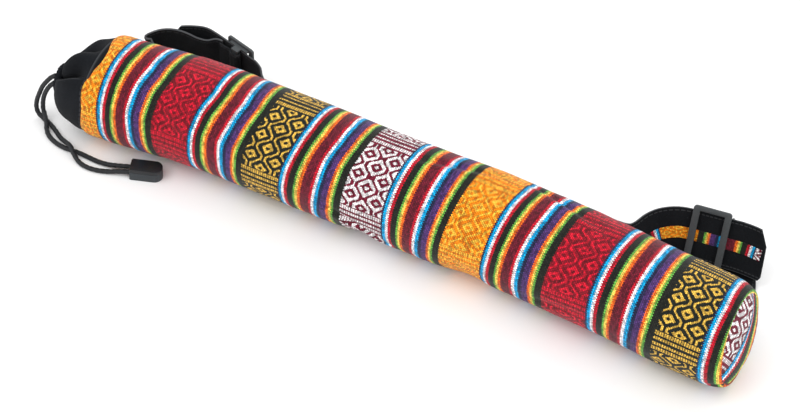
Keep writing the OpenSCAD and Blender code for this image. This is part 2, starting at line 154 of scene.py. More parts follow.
# %% Node wrapper
class Wires:
    """Adds nodes to one tree, with numbers, sockets or values as inputs."""

    def __init__(self, tree):
        self.tree = tree

    def add(self, kind, *values, **settings):
        node = self.tree.nodes.new(kind)
        for key, value in settings.items():
            setattr(node, key, value)
        for socket, value in zip(node.inputs, values):
            connect(socket, value)
        return node

    def out(self, node, label=0):
        return Value(self, node.outputs[label])

    def math(self, operation, *values):
        return self.out(self.add("ShaderNodeMath", *values, operation=operation))

    def clamp(self, value, high):
        return self.out(self.add("ShaderNodeClamp", value, 0.0, high))

    def ramp(self, value, stops, interpolation="CONSTANT"):
        node = self.add("ShaderNodeValToRGB", value)
        ramp = node.color_ramp
        ramp.interpolation = interpolation
        while len(ramp.elements) < len(stops):
            ramp.elements.new(1.0)
        for element, (place, colour) in zip(ramp.elements, stops):
            element.position = place
            element.color = (*colour, 1)
        return self.out(node, "Color")

    def mix(self, factor, a, b, blend="MIX"):
        node = self.add("ShaderNodeMix", data_type="RGBA", blend_type=blend)
        for socket, value in ((0, factor), (6, a), (7, b)):
            connect(node.inputs[socket], value)
        return self.out(node, 2)

    def noise(self, place, scale, detail=2.0):
        node = self.add("ShaderNodeTexNoise")
        feed(node, Vector=place, Scale=scale, Detail=detail)
        return self.out(node, "Fac")

    def bump(self, shader, height, strength, distance):
        node = self.add("ShaderNodeBump")
        feed(node, Strength=strength, Distance=distance, Height=height)
        feed(shader, Normal=node.outputs[0])


print("node wrapper ready")

# %% Groups and finishes
SOCKET_KINDS = {"Place": "Vector", "Color": "Color"}


def linear(code):
    """Linear colour of a six-digit sRGB code."""
    parts = [int(code[i:i + 2], 16) / 255 for i in (0, 2, 4)]
    return tuple(p / 12.92 if p <= 0.04045 else ((p + 0.055) / 1.055) ** 2.4 for p in parts)


def tinted(colour, share):
    return tuple(c * share for c in colour)


def new_group(name, inputs, outputs):
    """A node group: its wires, the values given to it, and the node that takes what it makes."""
    tree = bpy.data.node_groups.new(name, "ShaderNodeTree")
    for side, labels in (("INPUT", inputs), ("OUTPUT", outputs)):
        for label in labels:
            kind = "NodeSocket" + SOCKET_KINDS.get(label, "Float")
            tree.interface.new_socket(label, in_out=side, socket_type=kind)
    wires = Wires(tree)
    given, made = wires.add("NodeGroupInput"), wires.add("NodeGroupOutput")
    return wires, [wires.out(given, label) for label in inputs], made


def use_group(wires, name, **values):
    """Puts a group into a tree, and gives the values that it puts out."""
    node = wires.add("ShaderNodeGroup", node_tree=bpy.data.node_groups[name])
    feed(node, **values)
    return [wires.out(node, k) for k in range(len(node.outputs))]


def new_finish(name, **sockets):
    """A material with its Principled shader, constant values set on the shader itself."""
    finish = bpy.data.materials.new(name)
    finish.use_nodes = True
    shader = finish.node_tree.nodes["Principled BSDF"]
    feed(shader, **sockets)
    return finish, Wires(finish.node_tree), shader


print("groups and finishes ready")

# %% [markdown]
# ## Weave
# All the cloth on the bag is woven, so one group draws the threads: ribs of warp that run one way,
# crossed by picks that rise in every second rib. It puts out the height for a bump and a value that
# differs a little from thread to thread, as yarn does.

# %% Weave group
PICK_LOW = 0.35
wires, (along, across, warp_mm, pick_mm), made = new_group(
    "weave", ("Along", "Across", "Warp", "Pick"), ("Height", "Thread"))
warp = across / warp_mm
warp_number = warp.op("FLOOR")
shifted = along / pick_mm + warp_number * 0.5
rib, float_over = ((value * math.pi).op("SINE").op("ABSOLUTE") for value in (warp, shifted))
height = rib.op("POWER", 0.6) * (PICK_LOW + float_over * (1 - PICK_LOW))
ids = wires.add("ShaderNodeCombineXYZ", warp_number, shifted.op("FLOOR"), 0.0)
speckle = wires.add("ShaderNodeTexWhiteNoise", ids.outputs[0], noise_dimensions="3D")
feed(made, Height=height, Thread=speckle.outputs["Value"])
print("weave group:", len(wires.tree.nodes), "nodes")

# %% [markdown]
# ## Striped cloth with diamond blocks
# The traditional cloth repeats a set of narrow warp stripes and one block of picked diamonds. Its
# place is read from the piece's own UV map in metres: U counts along the repeat, V goes round the
# tube. The stripes are one colour ramp over the repeat. The diamonds lie between zigzag lines, with a
# ring in each, and are counted in whole threads, so that their edges step as woven ones do. The blocks
# take turns in four pairs of colours.

# %% Cloth pattern group
REPEAT = 88.67
BLOCK_FROM, BLOCK_TO = 49.3, 83.8
BLOCK_MIDDLE = (BLOCK_FROM + BLOCK_TO) / 2
ROUND_REPEAT, FIELD, FIELD_START = 77.0, 56.0, -29.0
CELL_ACROSS, CELL_ALONG = 22.5, 17.4
WHITE, RED, CYAN, NAVY = linear("F4F1F3"), linear("C8142C"), linear("00A3DD"), linear("23274A")
DARK, GREEN, YELLOW, ORANGE = linear("1D2019"), linear("66AE46"), linear("F5D05A"), linear("F26A1C")
MAROON, PURPLE = linear("6C182A"), linear("50336D")
STRIPES = [
    (0.0, WHITE), (1.0, RED), (3.6, DARK), (8.7, GREEN), (10.5, YELLOW), (12.7, ORANGE), (14.9, MAROON),
    (22.8, RED), (25.2, WHITE), (27.7, CYAN), (30.4, NAVY), (33.0, PURPLE), (37.8, ORANGE), (40.0, YELLOW),
    (41.8, GREEN), (43.6, DARK), (49.3, MAROON), (83.8, NAVY), (85.2, CYAN), (87.5, WHITE)]
BLOCK_FIGURE = [linear("F8BC3C"), linear("DA1430"), linear("E9BA4C"), linear("F6F1F2")]
BLOCK_GROUND = [linear("F58608"), linear("860E20"), linear("1B2019"), linear("74142E")]
# Rows of the bars between two diamond fields: height from the field, and 1 where the figure shows
BARS = [(0.0, 0), (0.8, 1), (4.4, 0), (6.2, 1), (8.6, 0), (11.4, 1), (13.8, 0), (15.6, 1), (19.2, 0)]
WARP_MM, PICK_MM, TOOTH_RISE = 1.25, 2.1, 1.15

wires, (cloth_place,), made = new_group("striped_cloth", ("Place",), ("Color", "Height"))
split = wires.add("ShaderNodeSeparateXYZ", cloth_place)
u_mm, v_mm = wires.out(split, 0) * 1000.0, wires.out(split, 1) * 1000.0
weave_height, weave_thread = use_group(wires, "weave", Along=v_mm, Across=u_mm, Warp=WARP_MM, Pick=PICK_MM)
# A stripe's edge goes to and fro with every pick
tooth = (v_mm.op("PINGPONG", PICK_MM / 2) - PICK_MM / 4) * TOOTH_RISE
u_step = u_mm + tooth
number = (u_step / REPEAT).op("FLOOR")
place = u_step - number * REPEAT
stripes = wires.ramp(place / REPEAT, [(p / REPEAT, c) for p, c in STRIPES])
print("repeat of", REPEAT, "mm with", len(STRIPES), "stripes")

# %% Diamonds
STEP_ACROSS, STEP_ALONG = 0.95, 0.85
ZIGZAG_TURN, ZIGZAG_HALF, RING_EDGE, RING_HOLE = 0.66, 0.1, 0.49, 0.19
LIGHT_WIDER, PAIRS = 0.03, 4


def on_threads(value, step):
    """The middle of the thread that a place falls on."""
    return ((value / step).op("FLOOR") + 0.5) * step


# Whole repeats are added before each modulo, so that it meets no value below nought
raw = (u_mm + 100 * REPEAT).op("MODULO", REPEAT) - BLOCK_MIDDLE
v_in = (on_threads(v_mm, STEP_ALONG) + (20 * ROUND_REPEAT - FIELD_START)).op("MODULO", ROUND_REPEAT)
across = on_threads(raw, STEP_ACROSS) / CELL_ACROSS
along = (v_in - (FIELD / 2 - CELL_ALONG / 2)) / CELL_ALONG
pair = (number + (25 * PAIRS + 1)).op("MODULO", PAIRS)
light_block = pair > 2.5
cell_a, cell_b = ((slant - slant.op("ROUND")).op("ABSOLUTE") for slant in (across + along, across - along))
ring = cell_a.op("MAXIMUM", cell_b) * 2.0
inner = (ring < RING_EDGE + light_block * LIGHT_WIDER) * (ring > RING_HOLE)
# Columns of diamonds join at their tips, so the lattice is a row of zigzags with blunted turns
column = across * 2.0
odd = column.op("FLOOR").op("MODULO", 2.0).op("ABSOLUTE") * 2.0
zigzag = (1.0 - along.op("PINGPONG", 0.5) * 4.0) * (1.0 - odd)
zigzag = zigzag.op("MINIMUM", ZIGZAG_TURN).op("MAXIMUM", -ZIGZAG_TURN)
aside = column.op("FRACT") - (0.5 + zigzag * 0.5)
lattice = aside.op("ABSOLUTE") < ZIGZAG_HALF + light_block * LIGHT_WIDER
diamond = (lattice.op("MAXIMUM", inner) - light_block).op("ABSOLUTE")
print("diamonds of", CELL_ACROSS, "x", CELL_ALONG, "mm")

# %% Bars and colours
BARS_HIGH = ROUND_REPEAT - FIELD
DASH, DASH_GAP, FIGURE_RELIEF = 1.9, 0.5, 0.8
YARN_LOW, YARN_RANGE, GROOVE_SHADE_LOW, GROOVE_SHADE_RANGE = 0.5, 0.86, 0.24, 1.05
bars = wires.ramp((v_in - FIELD) / BARS_HIGH, [(p / BARS_HIGH, (c, c, c)) for p, c in BARS])
dash = (raw + 60.0).op("MODULO", DASH) > DASH_GAP
in_bars = v_in > FIELD
figure = in_bars * (bars * dash) + (1.0 - in_bars) * diamond
pair_place = pair / PAIRS + 0.02
ground_colour, figure_colour = (
    wires.ramp(pair_place, [(i / PAIRS, c) for i, c in enumerate(colours)])
    for colours in (BLOCK_GROUND, BLOCK_FIGURE))
in_block = (place > BLOCK_FROM) * (place < BLOCK_TO)
cloth = wires.mix(in_block, stripes, wires.mix(figure, ground_colour, figure_colour))
# The colour is multiplied by a random tone per thread and by painted shade in the grooves between threads,
# darker where the weave is low
shade = (YARN_LOW + weave_thread * YARN_RANGE) * (GROOVE_SHADE_LOW + weave_height * GROOVE_SHADE_RANGE)
grey = wires.add("ShaderNodeCombineColor", shade, shade, shade)
feed(made, Color=wires.mix(1.0, cloth, grey.outputs[0], "MULTIPLY"),
     Height=weave_height + in_block * figure * FIGURE_RELIEF)
print("striped cloth group:", len(wires.tree.nodes), "nodes")

# %% Cloth finish
striped_finish, wires, shader = new_finish(
    "striped_wool_cloth", Roughness=0.86, Specular_IOR_Level=0.18, Sheen_Weight=0.12, Sheen_Roughness=0.5)
uv = wires.add("ShaderNodeUVMap", uv_map="UVMap")
colour, height = use_group(wires, "striped_cloth", Place=uv.outputs[0])
feed(shader, Base_Color=colour)
wires.bump(shader, height, 0.55, 0.0005)
print("finish:", striped_finish.name)

# %% [markdown]
# ## Sewing rows
# Straps, ribbon and collar are sewn down along their edges. One group draws a row of stitches from the
# distance to the row and the place along it: a thread that stands up between two needle holes.

# %% Stitch group
STITCH, STITCH_GAP, STITCH_HALF = 3.4, 0.8, 0.42
wires, (aside, place), made = new_group("stitch_row", ("Off", "Run"), ("Mask", "Hole"))
near = aside.op("ABSOLUTE") < STITCH_HALF
thread = (place + 2000 * STITCH).op("MODULO", STITCH) > STITCH_GAP
feed(made, Mask=near * thread, Hole=near * (1.0 - thread))
print("stitch group:", len(wires.tree.nodes), "nodes")

# %% [markdown]
# ## Black cotton, cord, plastic and foam
# The collar and straps are a close black cotton with lint on it, paler along its folds and edges, for
# wear and as a painted highlight; the cord is a braid, whose strands are modelled and whose finish adds
# the filaments and paler ridges. Both plastics are moulded with a fine grain and are paler along their
# edges: a little polish and a painted highlight.

# %% Black cotton
LINT, PALE_WEAR_AND_HIGHLIGHT, NEEDLE_HOLE = (0.35, 0.36, 0.38, 1), (0.5, 0.52, 0.55, 1), (0.001, 0.001, 0.001, 1)
CLOUD_SCALE, LINT_SCALE, LINT_OVER, LINT_SHARE = 55.0, 900.0, 0.72, 0.05
EDGE_WEAR_AND_HIGHLIGHT, FOLD_WEAR_AND_HIGHLIGHT, FOLD_FROM, STITCH_SHARE, HOLE_SHARE, STITCH_RISE = 0.11, 0.16, 0.53, 0.06, 0.8, 1.5


def cotton_finish(name, colour, warp_mm, strength, edge_mm=None, row_across=None, row_along=None):
    """Woven cotton with lint, folds and edges paler for wear and as a painted highlight, and a row of
    stitches along it or across it.
    """
    finish, wires, shader = new_finish(name, Roughness=0.85, Specular_IOR_Level=0.1, Sheen_Weight=0.03)
    uv = wires.add("ShaderNodeUVMap", uv_map="UVMap")
    split = wires.add("ShaderNodeSeparateXYZ", uv.outputs[0])
    along, across = wires.out(split, 0) * 1000.0, wires.out(split, 1) * 1000.0
    height, thread = use_group(wires, "weave", Along=along, Across=across, Warp=warp_mm, Pick=warp_mm * 1.2)
    place = wires.add("ShaderNodeTexCoord").outputs["Object"]
    cloud, lint = wires.noise(place, CLOUD_SCALE, 5.0), wires.noise(place, LINT_SCALE)
    tone = wires.ramp(thread * 0.35 + cloud * 0.9, [(0.2, tinted(colour, 0.6)), (1.0, tinted(colour, 1.5))],
                      "LINEAR")
    pale = wires.mix((lint > LINT_OVER) * LINT_SHARE, tone, LINT)
    # Both edges of a strap are paler: some wear, and a painted highlight along the edge
    if edge_mm:
        pale = wires.mix((across.op("ABSOLUTE") > edge_mm) * EDGE_WEAR_AND_HIGHLIGHT, pale, PALE_WEAR_AND_HIGHLIGHT)
    # Outward folds and edges are paler by their pointiness: some wear, and a painted highlight where they
    # catch light
    bent = wires.out(wires.add("ShaderNodeNewGeometry"), "Pointiness") - FOLD_FROM
    pale = wires.mix(wires.clamp(bent * 1.6, FOLD_WEAR_AND_HIGHLIGHT), pale, PALE_WEAR_AND_HIGHLIGHT)
    if row_across or row_along:
        aside = across.op("ABSOLUTE") - row_across if row_across else along - row_along
        mask, hole = use_group(wires, "stitch_row", Off=aside, Run=along if row_across else across)
        pale = wires.mix(mask * STITCH_SHARE, pale, PALE_WEAR_AND_HIGHLIGHT)
        pale = wires.mix(hole * HOLE_SHARE, pale, NEEDLE_HOLE)
        height = height + mask * STITCH_RISE - hole * STITCH_RISE
    feed(shader, Base_Color=pale)
    wires.bump(shader, height, strength, 0.0003)
    return finish


cotton = cotton_finish("black_cotton", linear("14161A"), 0.55, 0.45)
collar_cotton = cotton_finish("black_collar_cotton", linear("14161A"), 0.55, 0.45, row_along=3.0)
webbing = cotton_finish("black_strap_cotton", linear("121417"), 0.7, 0.5, 19.2, row_across=17.2)
patch_cotton = cotton_finish("black_patch_cotton", linear("121417"), 0.7, 0.5, row_across=11.2)
tape_cotton = cotton_finish("black_tape", linear("131518"), 0.5, 0.4)
print("cotton finishes made")

# %% Cord, plastic and foam
GRAIN_GLOSS, POLISH_AND_HIGHLIGHT_MOST = 0.2, 0.6


def grained_finish(name, colour, roughness, grain, strength, wear_and_highlight):
    """A fine grain over broader clouds, paler where the surface bends outwards: a little polish and a painted
    highlight.
    """
    finish, wires, shader = new_finish(name, Specular_IOR_Level=0.45)
    place = wires.add("ShaderNodeTexCoord").outputs["Object"]
    fine, broad = wires.noise(place, grain, 3.0), wires.noise(place, grain / 12)
    tone = wires.ramp(fine * 0.55 + broad * 0.45,
                      [(0.25, tinted(colour, 0.72)), (0.75, tinted(colour, 1.3))], "LINEAR")
    bent = wires.out(wires.add("ShaderNodeNewGeometry"), "Pointiness") - 0.5
    # Outward edges and ridges are paler: a little polish, and a painted highlight where they catch light
    worn_and_highlit = wires.mix(wires.clamp(bent * wear_and_highlight, POLISH_AND_HIGHLIGHT_MOST), tone, tinted(colour, 2.6) + (1,))
    feed(shader, Base_Color=worn_and_highlit, Roughness=roughness - GRAIN_GLOSS / 2 + fine * GRAIN_GLOSS)
    wires.bump(shader, fine, strength, 0.0002)
    return finish


cord_finish = grained_finish("black_braid", linear("14161A"), 0.62, 2600.0, 0.5, 1.5)
dark_plastic = grained_finish("black_moulded_plastic", linear("16181B"), 0.5, 1500.0, 0.25, 2.0)
tray_plastic = grained_finish("grey_black_moulded_plastic", linear("272C30"), 0.5, 1500.0, 0.25, 2.0)
slider_plastic = grained_finish("dark_grey_moulded_plastic", linear("3A3E40"), 0.55, 900.0, 0.7, 2.0)
foam = grained_finish("pale_foam", linear("C9C8C0"), 0.9, 1800.0, 0.6, 0.0)
print("materials:", len(bpy.data.materials))

# %% [markdown]
# ## Tools for shaping cloth
# Cloth is a grid that is laid along a shape: Blender's grid primitive gives the flat piece, its points
# are carried to their places, and the UV map keeps the cloth's own measure in metres. A wall gets its
# thickness from a Solidify modifier, and small pieces get round edges from a Bevel modifier.

# %% Mesh tools
def only(piece):
    bpy.ops.object.select_all(action="DESELECT")
    piece.select_set(True)
    bpy.context.view_layer.objects.active = piece


@contextmanager
def editing(piece):
    """Edit mode on one piece, for the operators in the block."""
    only(piece)
    bpy.ops.object.mode_set(mode="EDIT")
    yield
    bpy.ops.object.mode_set(mode="OBJECT")


def added(name, operator, **settings):
    """The mesh that an operator adds, under its name."""
    bpy.ops.object.select_all(action="DESELECT")
    operator(**settings)
    piece = bpy.context.object
    piece.name = piece.data.name = name
    return piece


def points_of(piece):
    flat = np.empty(len(piece.data.vertices) * 3)
    piece.data.vertices.foreach_get("co", flat)
    return flat.reshape(-1, 3)


def move_points(piece, points):
    piece.data.vertices.foreach_set("co", points.ravel())
    piece.data.update()


def modify(piece, kind, **settings):
    only(piece)
    bpy.ops.object.modifier_add(type=kind)
    modifier = piece.modifiers[-1]
    for key, value in settings.items():
        setattr(modifier, key, value)
    bpy.ops.object.modifier_apply(modifier=modifier.name)


def round_off(piece, width, segments, angle):
    """Bevels the edges that turn by more than the angle."""
    modify(piece, "BEVEL", width=width * MM, segments=segments, limit_method="ANGLE",
           angle_limit=math.radians(angle))


def hand_in(piece, finish, slot, *nodes, body="bag", smooth=40):
    """Finish, smoothing, body, and the plain solids that the piece stands for; the material slot's name is
    not used.
    """
    only(piece)
    bpy.ops.object.shade_smooth_by_angle(angle=math.radians(smooth))
    piece.data.materials.clear()
    piece.data.materials.append(finish)
    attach(piece, body)
    if nodes:
        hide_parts(*nodes)
    piece.data.calc_loop_triangles()
    print(f"{piece.name}: {len(piece.data.loop_triangles)} triangles")
    return piece


print("mesh tools ready")

# %% Sheet tools
def flat_grid(name, along, across):
    """Blender's grid, and each point's place on it from 0 to 1."""
    piece = added(name, bpy.ops.mesh.primitive_grid_add, x_subdivisions=along, y_subdivisions=across, size=2)
    share = (points_of(piece) + 1) / 2
    return piece, share[:, 0], share[:, 1]


def lay(piece, points, along, across):
    """Carries the grid's points to their places in mm, and gives the cloth its UV map in metres."""
    corners = np.empty(len(piece.data.loops), int)
    piece.data.loops.foreach_get("vertex_index", corners)
    uv = np.column_stack([along, across])[corners] * MM
    piece.data.uv_layers["UVMap"].data.foreach_set("uv", uv.ravel())
    move_points(piece, points * MM)


def close_seam(piece, cap=False):
    with editing(piece):
        bpy.ops.mesh.select_all(action="SELECT")
        bpy.ops.mesh.remove_doubles(threshold=1e-6)
        if cap:
            bpy.ops.mesh.select_all(action="DESELECT")
            bpy.ops.mesh.select_non_manifold(extend=False)
            bpy.ops.mesh.edge_face_add()


def thicken(piece, wall, offset):
    modify(piece, "SOLIDIFY", thickness=wall * MM, offset=offset, use_even_offset=True)


def hand_in_wall(piece, wall, finish, slot, node, smooth=60):
    """Cloth that closes on itself, with its thickness to the inside."""
    close_seam(piece)
    thicken(piece, wall, -1)
    return hand_in(piece, finish, slot, node, smooth=smooth)


def hand_in_strip(piece, thick, edge, finish, slot, node, body="bag"):
    """A strip of cloth, with its thickness to both sides and round edges."""
    thicken(piece, thick, 0)
    round_off(piece, edge, 2, 60)
    return hand_in(piece, finish, slot, node, body=body, smooth=50)


print("sheet tools ready")

# %% [markdown]
# ## Curves through points
# A cord or a strap is given by a few points that it goes through. A Catmull-Rom curve joins them
# smoothly and passes through every one, which a Bezier or NURBS curve would not.

# %% Curve tools
def curve_through(points, steps):
    p = np.asarray(points, float)
    p = np.vstack([p[:1], p, p[-1:]])
    t = np.arange(steps)[:, None] / steps
    parts = []
    for a, b, c, d in zip(p[:-3], p[1:-2], p[2:-1], p[3:]):
        parts.append(0.5 * (2 * b + (c - a) * t + (2 * a - 5 * b + 4 * c - d) * t ** 2
                            + (3 * b - a - 3 * c + d) * t ** 3))
    return np.vstack(parts + [p[-1:]])


def length_along(points):
    return np.concatenate([[0], np.cumsum(np.linalg.norm(np.diff(points, axis=0), axis=1))])


def evenly(points, count):
    s = length_along(points)
    t = np.linspace(0, s[-1], count)
    return np.column_stack([np.interp(t, s, points[:, k]) for k in range(points.shape[1])])


def unit(v):
    return v / np.linalg.norm(v, axis=-1, keepdims=True)


def tangents(points):
    t = np.empty_like(points)
    t[1:-1] = points[2:] - points[:-2]
    t[0], t[-1] = points[1] - points[0], points[-1] - points[-2]
    return unit(t)


def row_of(u, line):
    """Which point of a line each point of a grid lies at."""
    return np.rint(u * (len(line) - 1)).astype(int)


print("curve tools ready")

# %% [markdown]
# ## Drawstring
# The drawstring runs round the mouth in its hem and leaves it as two free cords, which fall to the
# floor, cross each other twice and end in a moulded cord end. Each cord is a tube whose surface has
# the strands of a braid, so that the braid shows at the outline too.

# %% Cord routes
END_AT, END_TURN = np.array([-236, -48.2, 0.0]), math.radians(20)
CORD_SIDE, CORD_Z = 3, 4.6


def in_end(x, y, z):
    """A point of the cord end, from the middle of the side where the cords go in."""
    return END_AT + [math.cos(END_TURN) * x - math.sin(END_TURN) * y,
                     math.sin(END_TURN) * x + math.cos(END_TURN) * y, z]


OUTER_ROUTE = [
    (-318, -24.5, 49), (-321.5, -26.5, 46.5), (-325.5, -27.5, 41), (-329.5, -28, 34), (-332.5, -28.5, 26),
    (-335, -29, 18), (-336, -29.5, 10.5), (-334, -30.5, 5), (-329, -31.5, 2.4), (-321.5, -34, 2.2),
    (-313, -38.5, 2.2), (-305, -43.5, 2.4), (-297.5, -47.5, 4.6), (-290, -51.5, 6.8), (-284, -56, 4.6),
    (-277, -59.5, 2.4), (-269, -61, 2.2), (-260, -60, 2.2), (-251, -57, 2.6), (-243.4, -54, 3.9),
    in_end(0, -CORD_SIDE, CORD_Z), in_end(4, -CORD_SIDE, CORD_Z)]
INNER_ROUTE = [
    (-318, -26.5, 43), (-322, -28, 38.5), (-325.5, -28.5, 32), (-328.5, -28.5, 24), (-330, -28.5, 16),
    (-329.5, -29.5, 10), (-326.5, -32, 7.2), (-322.5, -36.5, 5), (-319, -41.5, 2.6), (-313.5, -46.5, 2.2),
    (-305.5, -50, 2.2), (-297, -51.5, 2.2), (-289, -51, 2.2), (-281, -50.8, 2.2), (-273, -51.2, 2.2),
    (-264, -51.6, 2.4), (-255, -50.8, 3), (-246, -48.6, 4.1),
    in_end(0, CORD_SIDE, CORD_Z), in_end(4, CORD_SIDE, CORD_Z)]
outer_line = evenly(curve_through(OUTER_ROUTE, 12), 460)
inner_line = evenly(curve_through(INNER_ROUTE, 12), 400)
print("free cords:", round(length_along(outer_line)[-1], 1), round(length_along(inner_line)[-1], 1), "mm")

# %% Braided cords
CORD_R, BRAID_PITCH, BRAID_STRANDS, BRAID_DEPTH = 1.95, 9.0, 4, 0.085


def braided(name, line, around=26, ring=False):
    """A tube along the line, its strands crossing in both directions."""
    piece, u, v = flat_grid(name, len(line) - 1, around)
    row = row_of(u, line)
    turn = FULL_TURN * v
    t = tangents(line)
    if ring:
        t[0] = t[-1] = unit(line[1] - line[-2])
    side = np.empty_like(t)
    side[0] = unit(np.cross(t[0], [0.3, 0.9, 0.1]))
    for i in range(1, len(t)):
        side[i] = unit(side[i - 1] - t[i] * np.dot(side[i - 1], t[i]))
    other = np.cross(t, side)
    s = length_along(line)[row]
    lead = FULL_TURN * s / BRAID_PITCH
    strand = np.maximum(np.sin(lead * 2 + BRAID_STRANDS * turn), np.sin(lead * 2 - BRAID_STRANDS * turn))
    radius = CORD_R * (1 - BRAID_DEPTH * (1 - strand))
    out = np.cos(turn)[:, None] * side[row] + np.sin(turn)[:, None] * other[row]
    lay(piece, line[row] + radius[:, None] * out, s, turn * CORD_R)
    close_seam(piece, cap=not ring)
    return piece


outer_cord, inner_cord = (
    hand_in(braided(name, line), cord_finish, "black_cord", node)
    for name, line, node in (("cord_outer", outer_line, "drawstring_tail_outer"),
                             ("cord_inner", inner_line, "drawstring_tail_inner")))

# %% [markdown]
# ## Cord end
# Both cords end in knots inside a small moulded case: a tray with two holes and a lid that snaps on.
# The case is square where the cords go in and round at the other end, so a block has two of its
# upright edges bevelled to half its width. The tray is hollowed by an inset and an inward extrusion.

# %% Edit-mode helpers
@contextmanager
def picked(piece, kind, test):
    """Edit mode with the faces or edges selected that pass a test.

    A face is tested by its middle (mm) and normal, an edge by its two ends (mm).
    """
    with editing(piece):
        bpy.ops.mesh.select_mode(type=kind)
        bpy.ops.mesh.select_all(action="DESELECT")
    points = [v.co / MM for v in piece.data.vertices]
    if kind == "FACE":
        for face in piece.data.polygons:
            face.select = bool(test(face.center / MM, face.normal))
    else:
        for edge in piece.data.edges:
            edge.select = bool(test(*(points[i] for i in edge.vertices)))
    with editing(piece):
        yield


def block(name, low, high):
    """A box from its two corners in mm, with its place in its mesh."""
    piece = added(name, bpy.ops.mesh.primitive_cube_add, size=1)
    low, high = np.array(low, float), np.array(high, float)
    with editing(piece):
        bpy.ops.mesh.select_all(action="SELECT")
        bpy.ops.transform.resize(value=tuple((high - low) * MM))
        bpy.ops.transform.translate(value=tuple((low + high) / 2 * MM))
    return piece


def combine(piece, tool, operation):
    """Joins a tool to the piece or cuts it out, and clears the tool away."""
    modify(piece, "BOOLEAN", operation=operation, object=tool)
    bpy.data.objects.remove(tool)


def extrude(rise):
    bpy.ops.mesh.extrude_region_move(TRANSFORM_OT_translate={"value": (0, 0, rise * MM)})


def place_mesh(piece, axes, origin):
    """Carries a mesh from its own frame to its place: axes are its x, y and z there."""
    move_points(piece, points_of(piece) @ np.array(axes, float) + np.array(origin, float) * MM)


print("edit helpers ready")

# %% Tray and lid
END_LEN, END_W, TRAY_H, LID_T, END_WALL, END_FLOOR = 26.0, 14.0, 7.7, 2.5, 1.3, 1.0
LID_GAP, LID_MARGIN, LID_RISE, HOLE_R, CORNER_R = 0.15, 1.1, 0.35, 2.3, 1.3
END_AXES = [(math.cos(END_TURN), math.sin(END_TURN), 0), (-math.sin(END_TURN), math.cos(END_TURN), 0),
            (0, 0, 1)]


def end_block(name, low, high):
    """The case's outline: round at its far end, small corners where the cords go in."""
    piece = block(name, (0, -END_W / 2, low), (END_LEN, END_W / 2, high))
    for at, radius, segments in ((END_LEN, END_W / 2 - 0.4, 9), (0, CORNER_R, 3)):
        with picked(piece, "EDGE", lambda a, b: max(abs(a.x - at), abs(b.x - at)) < 1 and abs(a.z - b.z) > 1):
            bpy.ops.mesh.bevel(offset=radius * MM, segments=segments)
    return piece


tray = end_block("cord_end_case", 0.1, TRAY_H)
with picked(tray, "FACE", lambda c, n: n.z > 0.9):
    bpy.ops.mesh.inset(thickness=END_WALL * MM)
    extrude(END_FLOOR - TRAY_H)
for side in (-CORD_SIDE, CORD_SIDE):
    drill = added("drill", bpy.ops.mesh.primitive_cylinder_add, vertices=28, radius=HOLE_R * MM, depth=6 * MM,
                  rotation=(0, math.pi / 2, 0), location=(0, side * MM, CORD_Z * MM))
    combine(tray, drill, "DIFFERENCE")
lid = end_block("cord_end_cover", TRAY_H + LID_GAP, TRAY_H + LID_T)
with picked(lid, "FACE", lambda c, n: n.z > 0.9):
    bpy.ops.mesh.inset(thickness=LID_MARGIN * MM)
    bpy.ops.transform.translate(value=(0, 0, LID_RISE * MM))
for piece, edge, segments, angle, finish, node in (
        (tray, 0.35, 2, 50, tray_plastic, "cord_end_tray"), (lid, 0.6, 3, 25, dark_plastic, "cord_end_lid")):
    round_off(piece, edge, segments, angle)
    place_mesh(piece, END_AXES, END_AT)
    hand_in(piece, finish, "black_plastic", node)

# %% Knots
KNOT_R, KNOT_IN = 2.55, 6.8


def knot(name, side, *nodes):
    """A cord's end tied over itself: a ball with its turns pressed in."""
    piece = added(name, bpy.ops.mesh.primitive_uv_sphere_add, segments=28, ring_count=18, radius=1)
    co = points_of(piece)
    swirl = 1 - 0.10 * np.abs(np.sin(2.5 * (np.arctan2(co[:, 1], co[:, 2]) + 1.4 * co[:, 0])))
    move_points(piece, co * swirl[:, None] * KNOT_R * MM)
    place_mesh(piece, END_AXES, in_end(KNOT_IN, side, CORD_Z))
    return hand_in(piece, cord_finish, "black_cord", *nodes)


knots = [knot("cord_knot_a", -CORD_SIDE, "cord_knots"), knot("cord_knot_b", CORD_SIDE)]

# %% [markdown]
# ## The bag's own line
# A soft tube never lies dead straight. Its middle line bows a little to the front at both ends, and
# every layer of the bag follows it. Round the tube, angles are counted from the side that faces up and
# to the front, where the cloth's pattern is counted from as well.

# %% Bow, seam and drawn-in end
TUBE_R, AXIS_Z = 42.5, 42.0
BOW_X = [-330, -280, -260, -240, -220, -200, -100, 0, 50, 100, 140, 180, 220, 260, 285]
BOW_Y = [-12, -7.8, -6, -3.1, 0, 2.0, 3.8, 4.2, 5.6, 5.0, 3.4, 0.7, -2.6, -4.3, -5.2]
bow_line = curve_through(np.column_stack([BOW_X, BOW_Y]), 24)


def bow(x):
    return np.interp(x, bow_line[:, 0], bow_line[:, 1])


FRONT_UP = math.radians(129.9)


def on_tube(x, bow_at, r, turn):
    """Points round the bag's own line, which is taken at its own place along the bag."""
    return np.column_stack([x, bow(bow_at) + r * np.cos(turn), AXIS_Z + r * np.sin(turn)])


def from_front(turn):
    """A turn counted from the side that faces up and to the front, within half a turn."""
    return (turn - FRONT_UP + math.pi) % FULL_TURN - math.pi


def smooth_step(a, b, x):
    t = np.clip((x - a) / (b - a), 0, 1)
    return t * t * (3 - 2 * t)


def ripple(x, turn, seed, spread, count=14):
    """Slow seeded waves over the tube, about -1 to 1."""
    rng = np.random.default_rng(seed)
    total = np.zeros_like(x)
    for _ in range(count):
        around = rng.integers(0, 4)
        total += np.sin(x / spread * rng.uniform(0.5, 2.2) + around * turn + rng.uniform(0, 6.28)) / count
    return total * 2.2


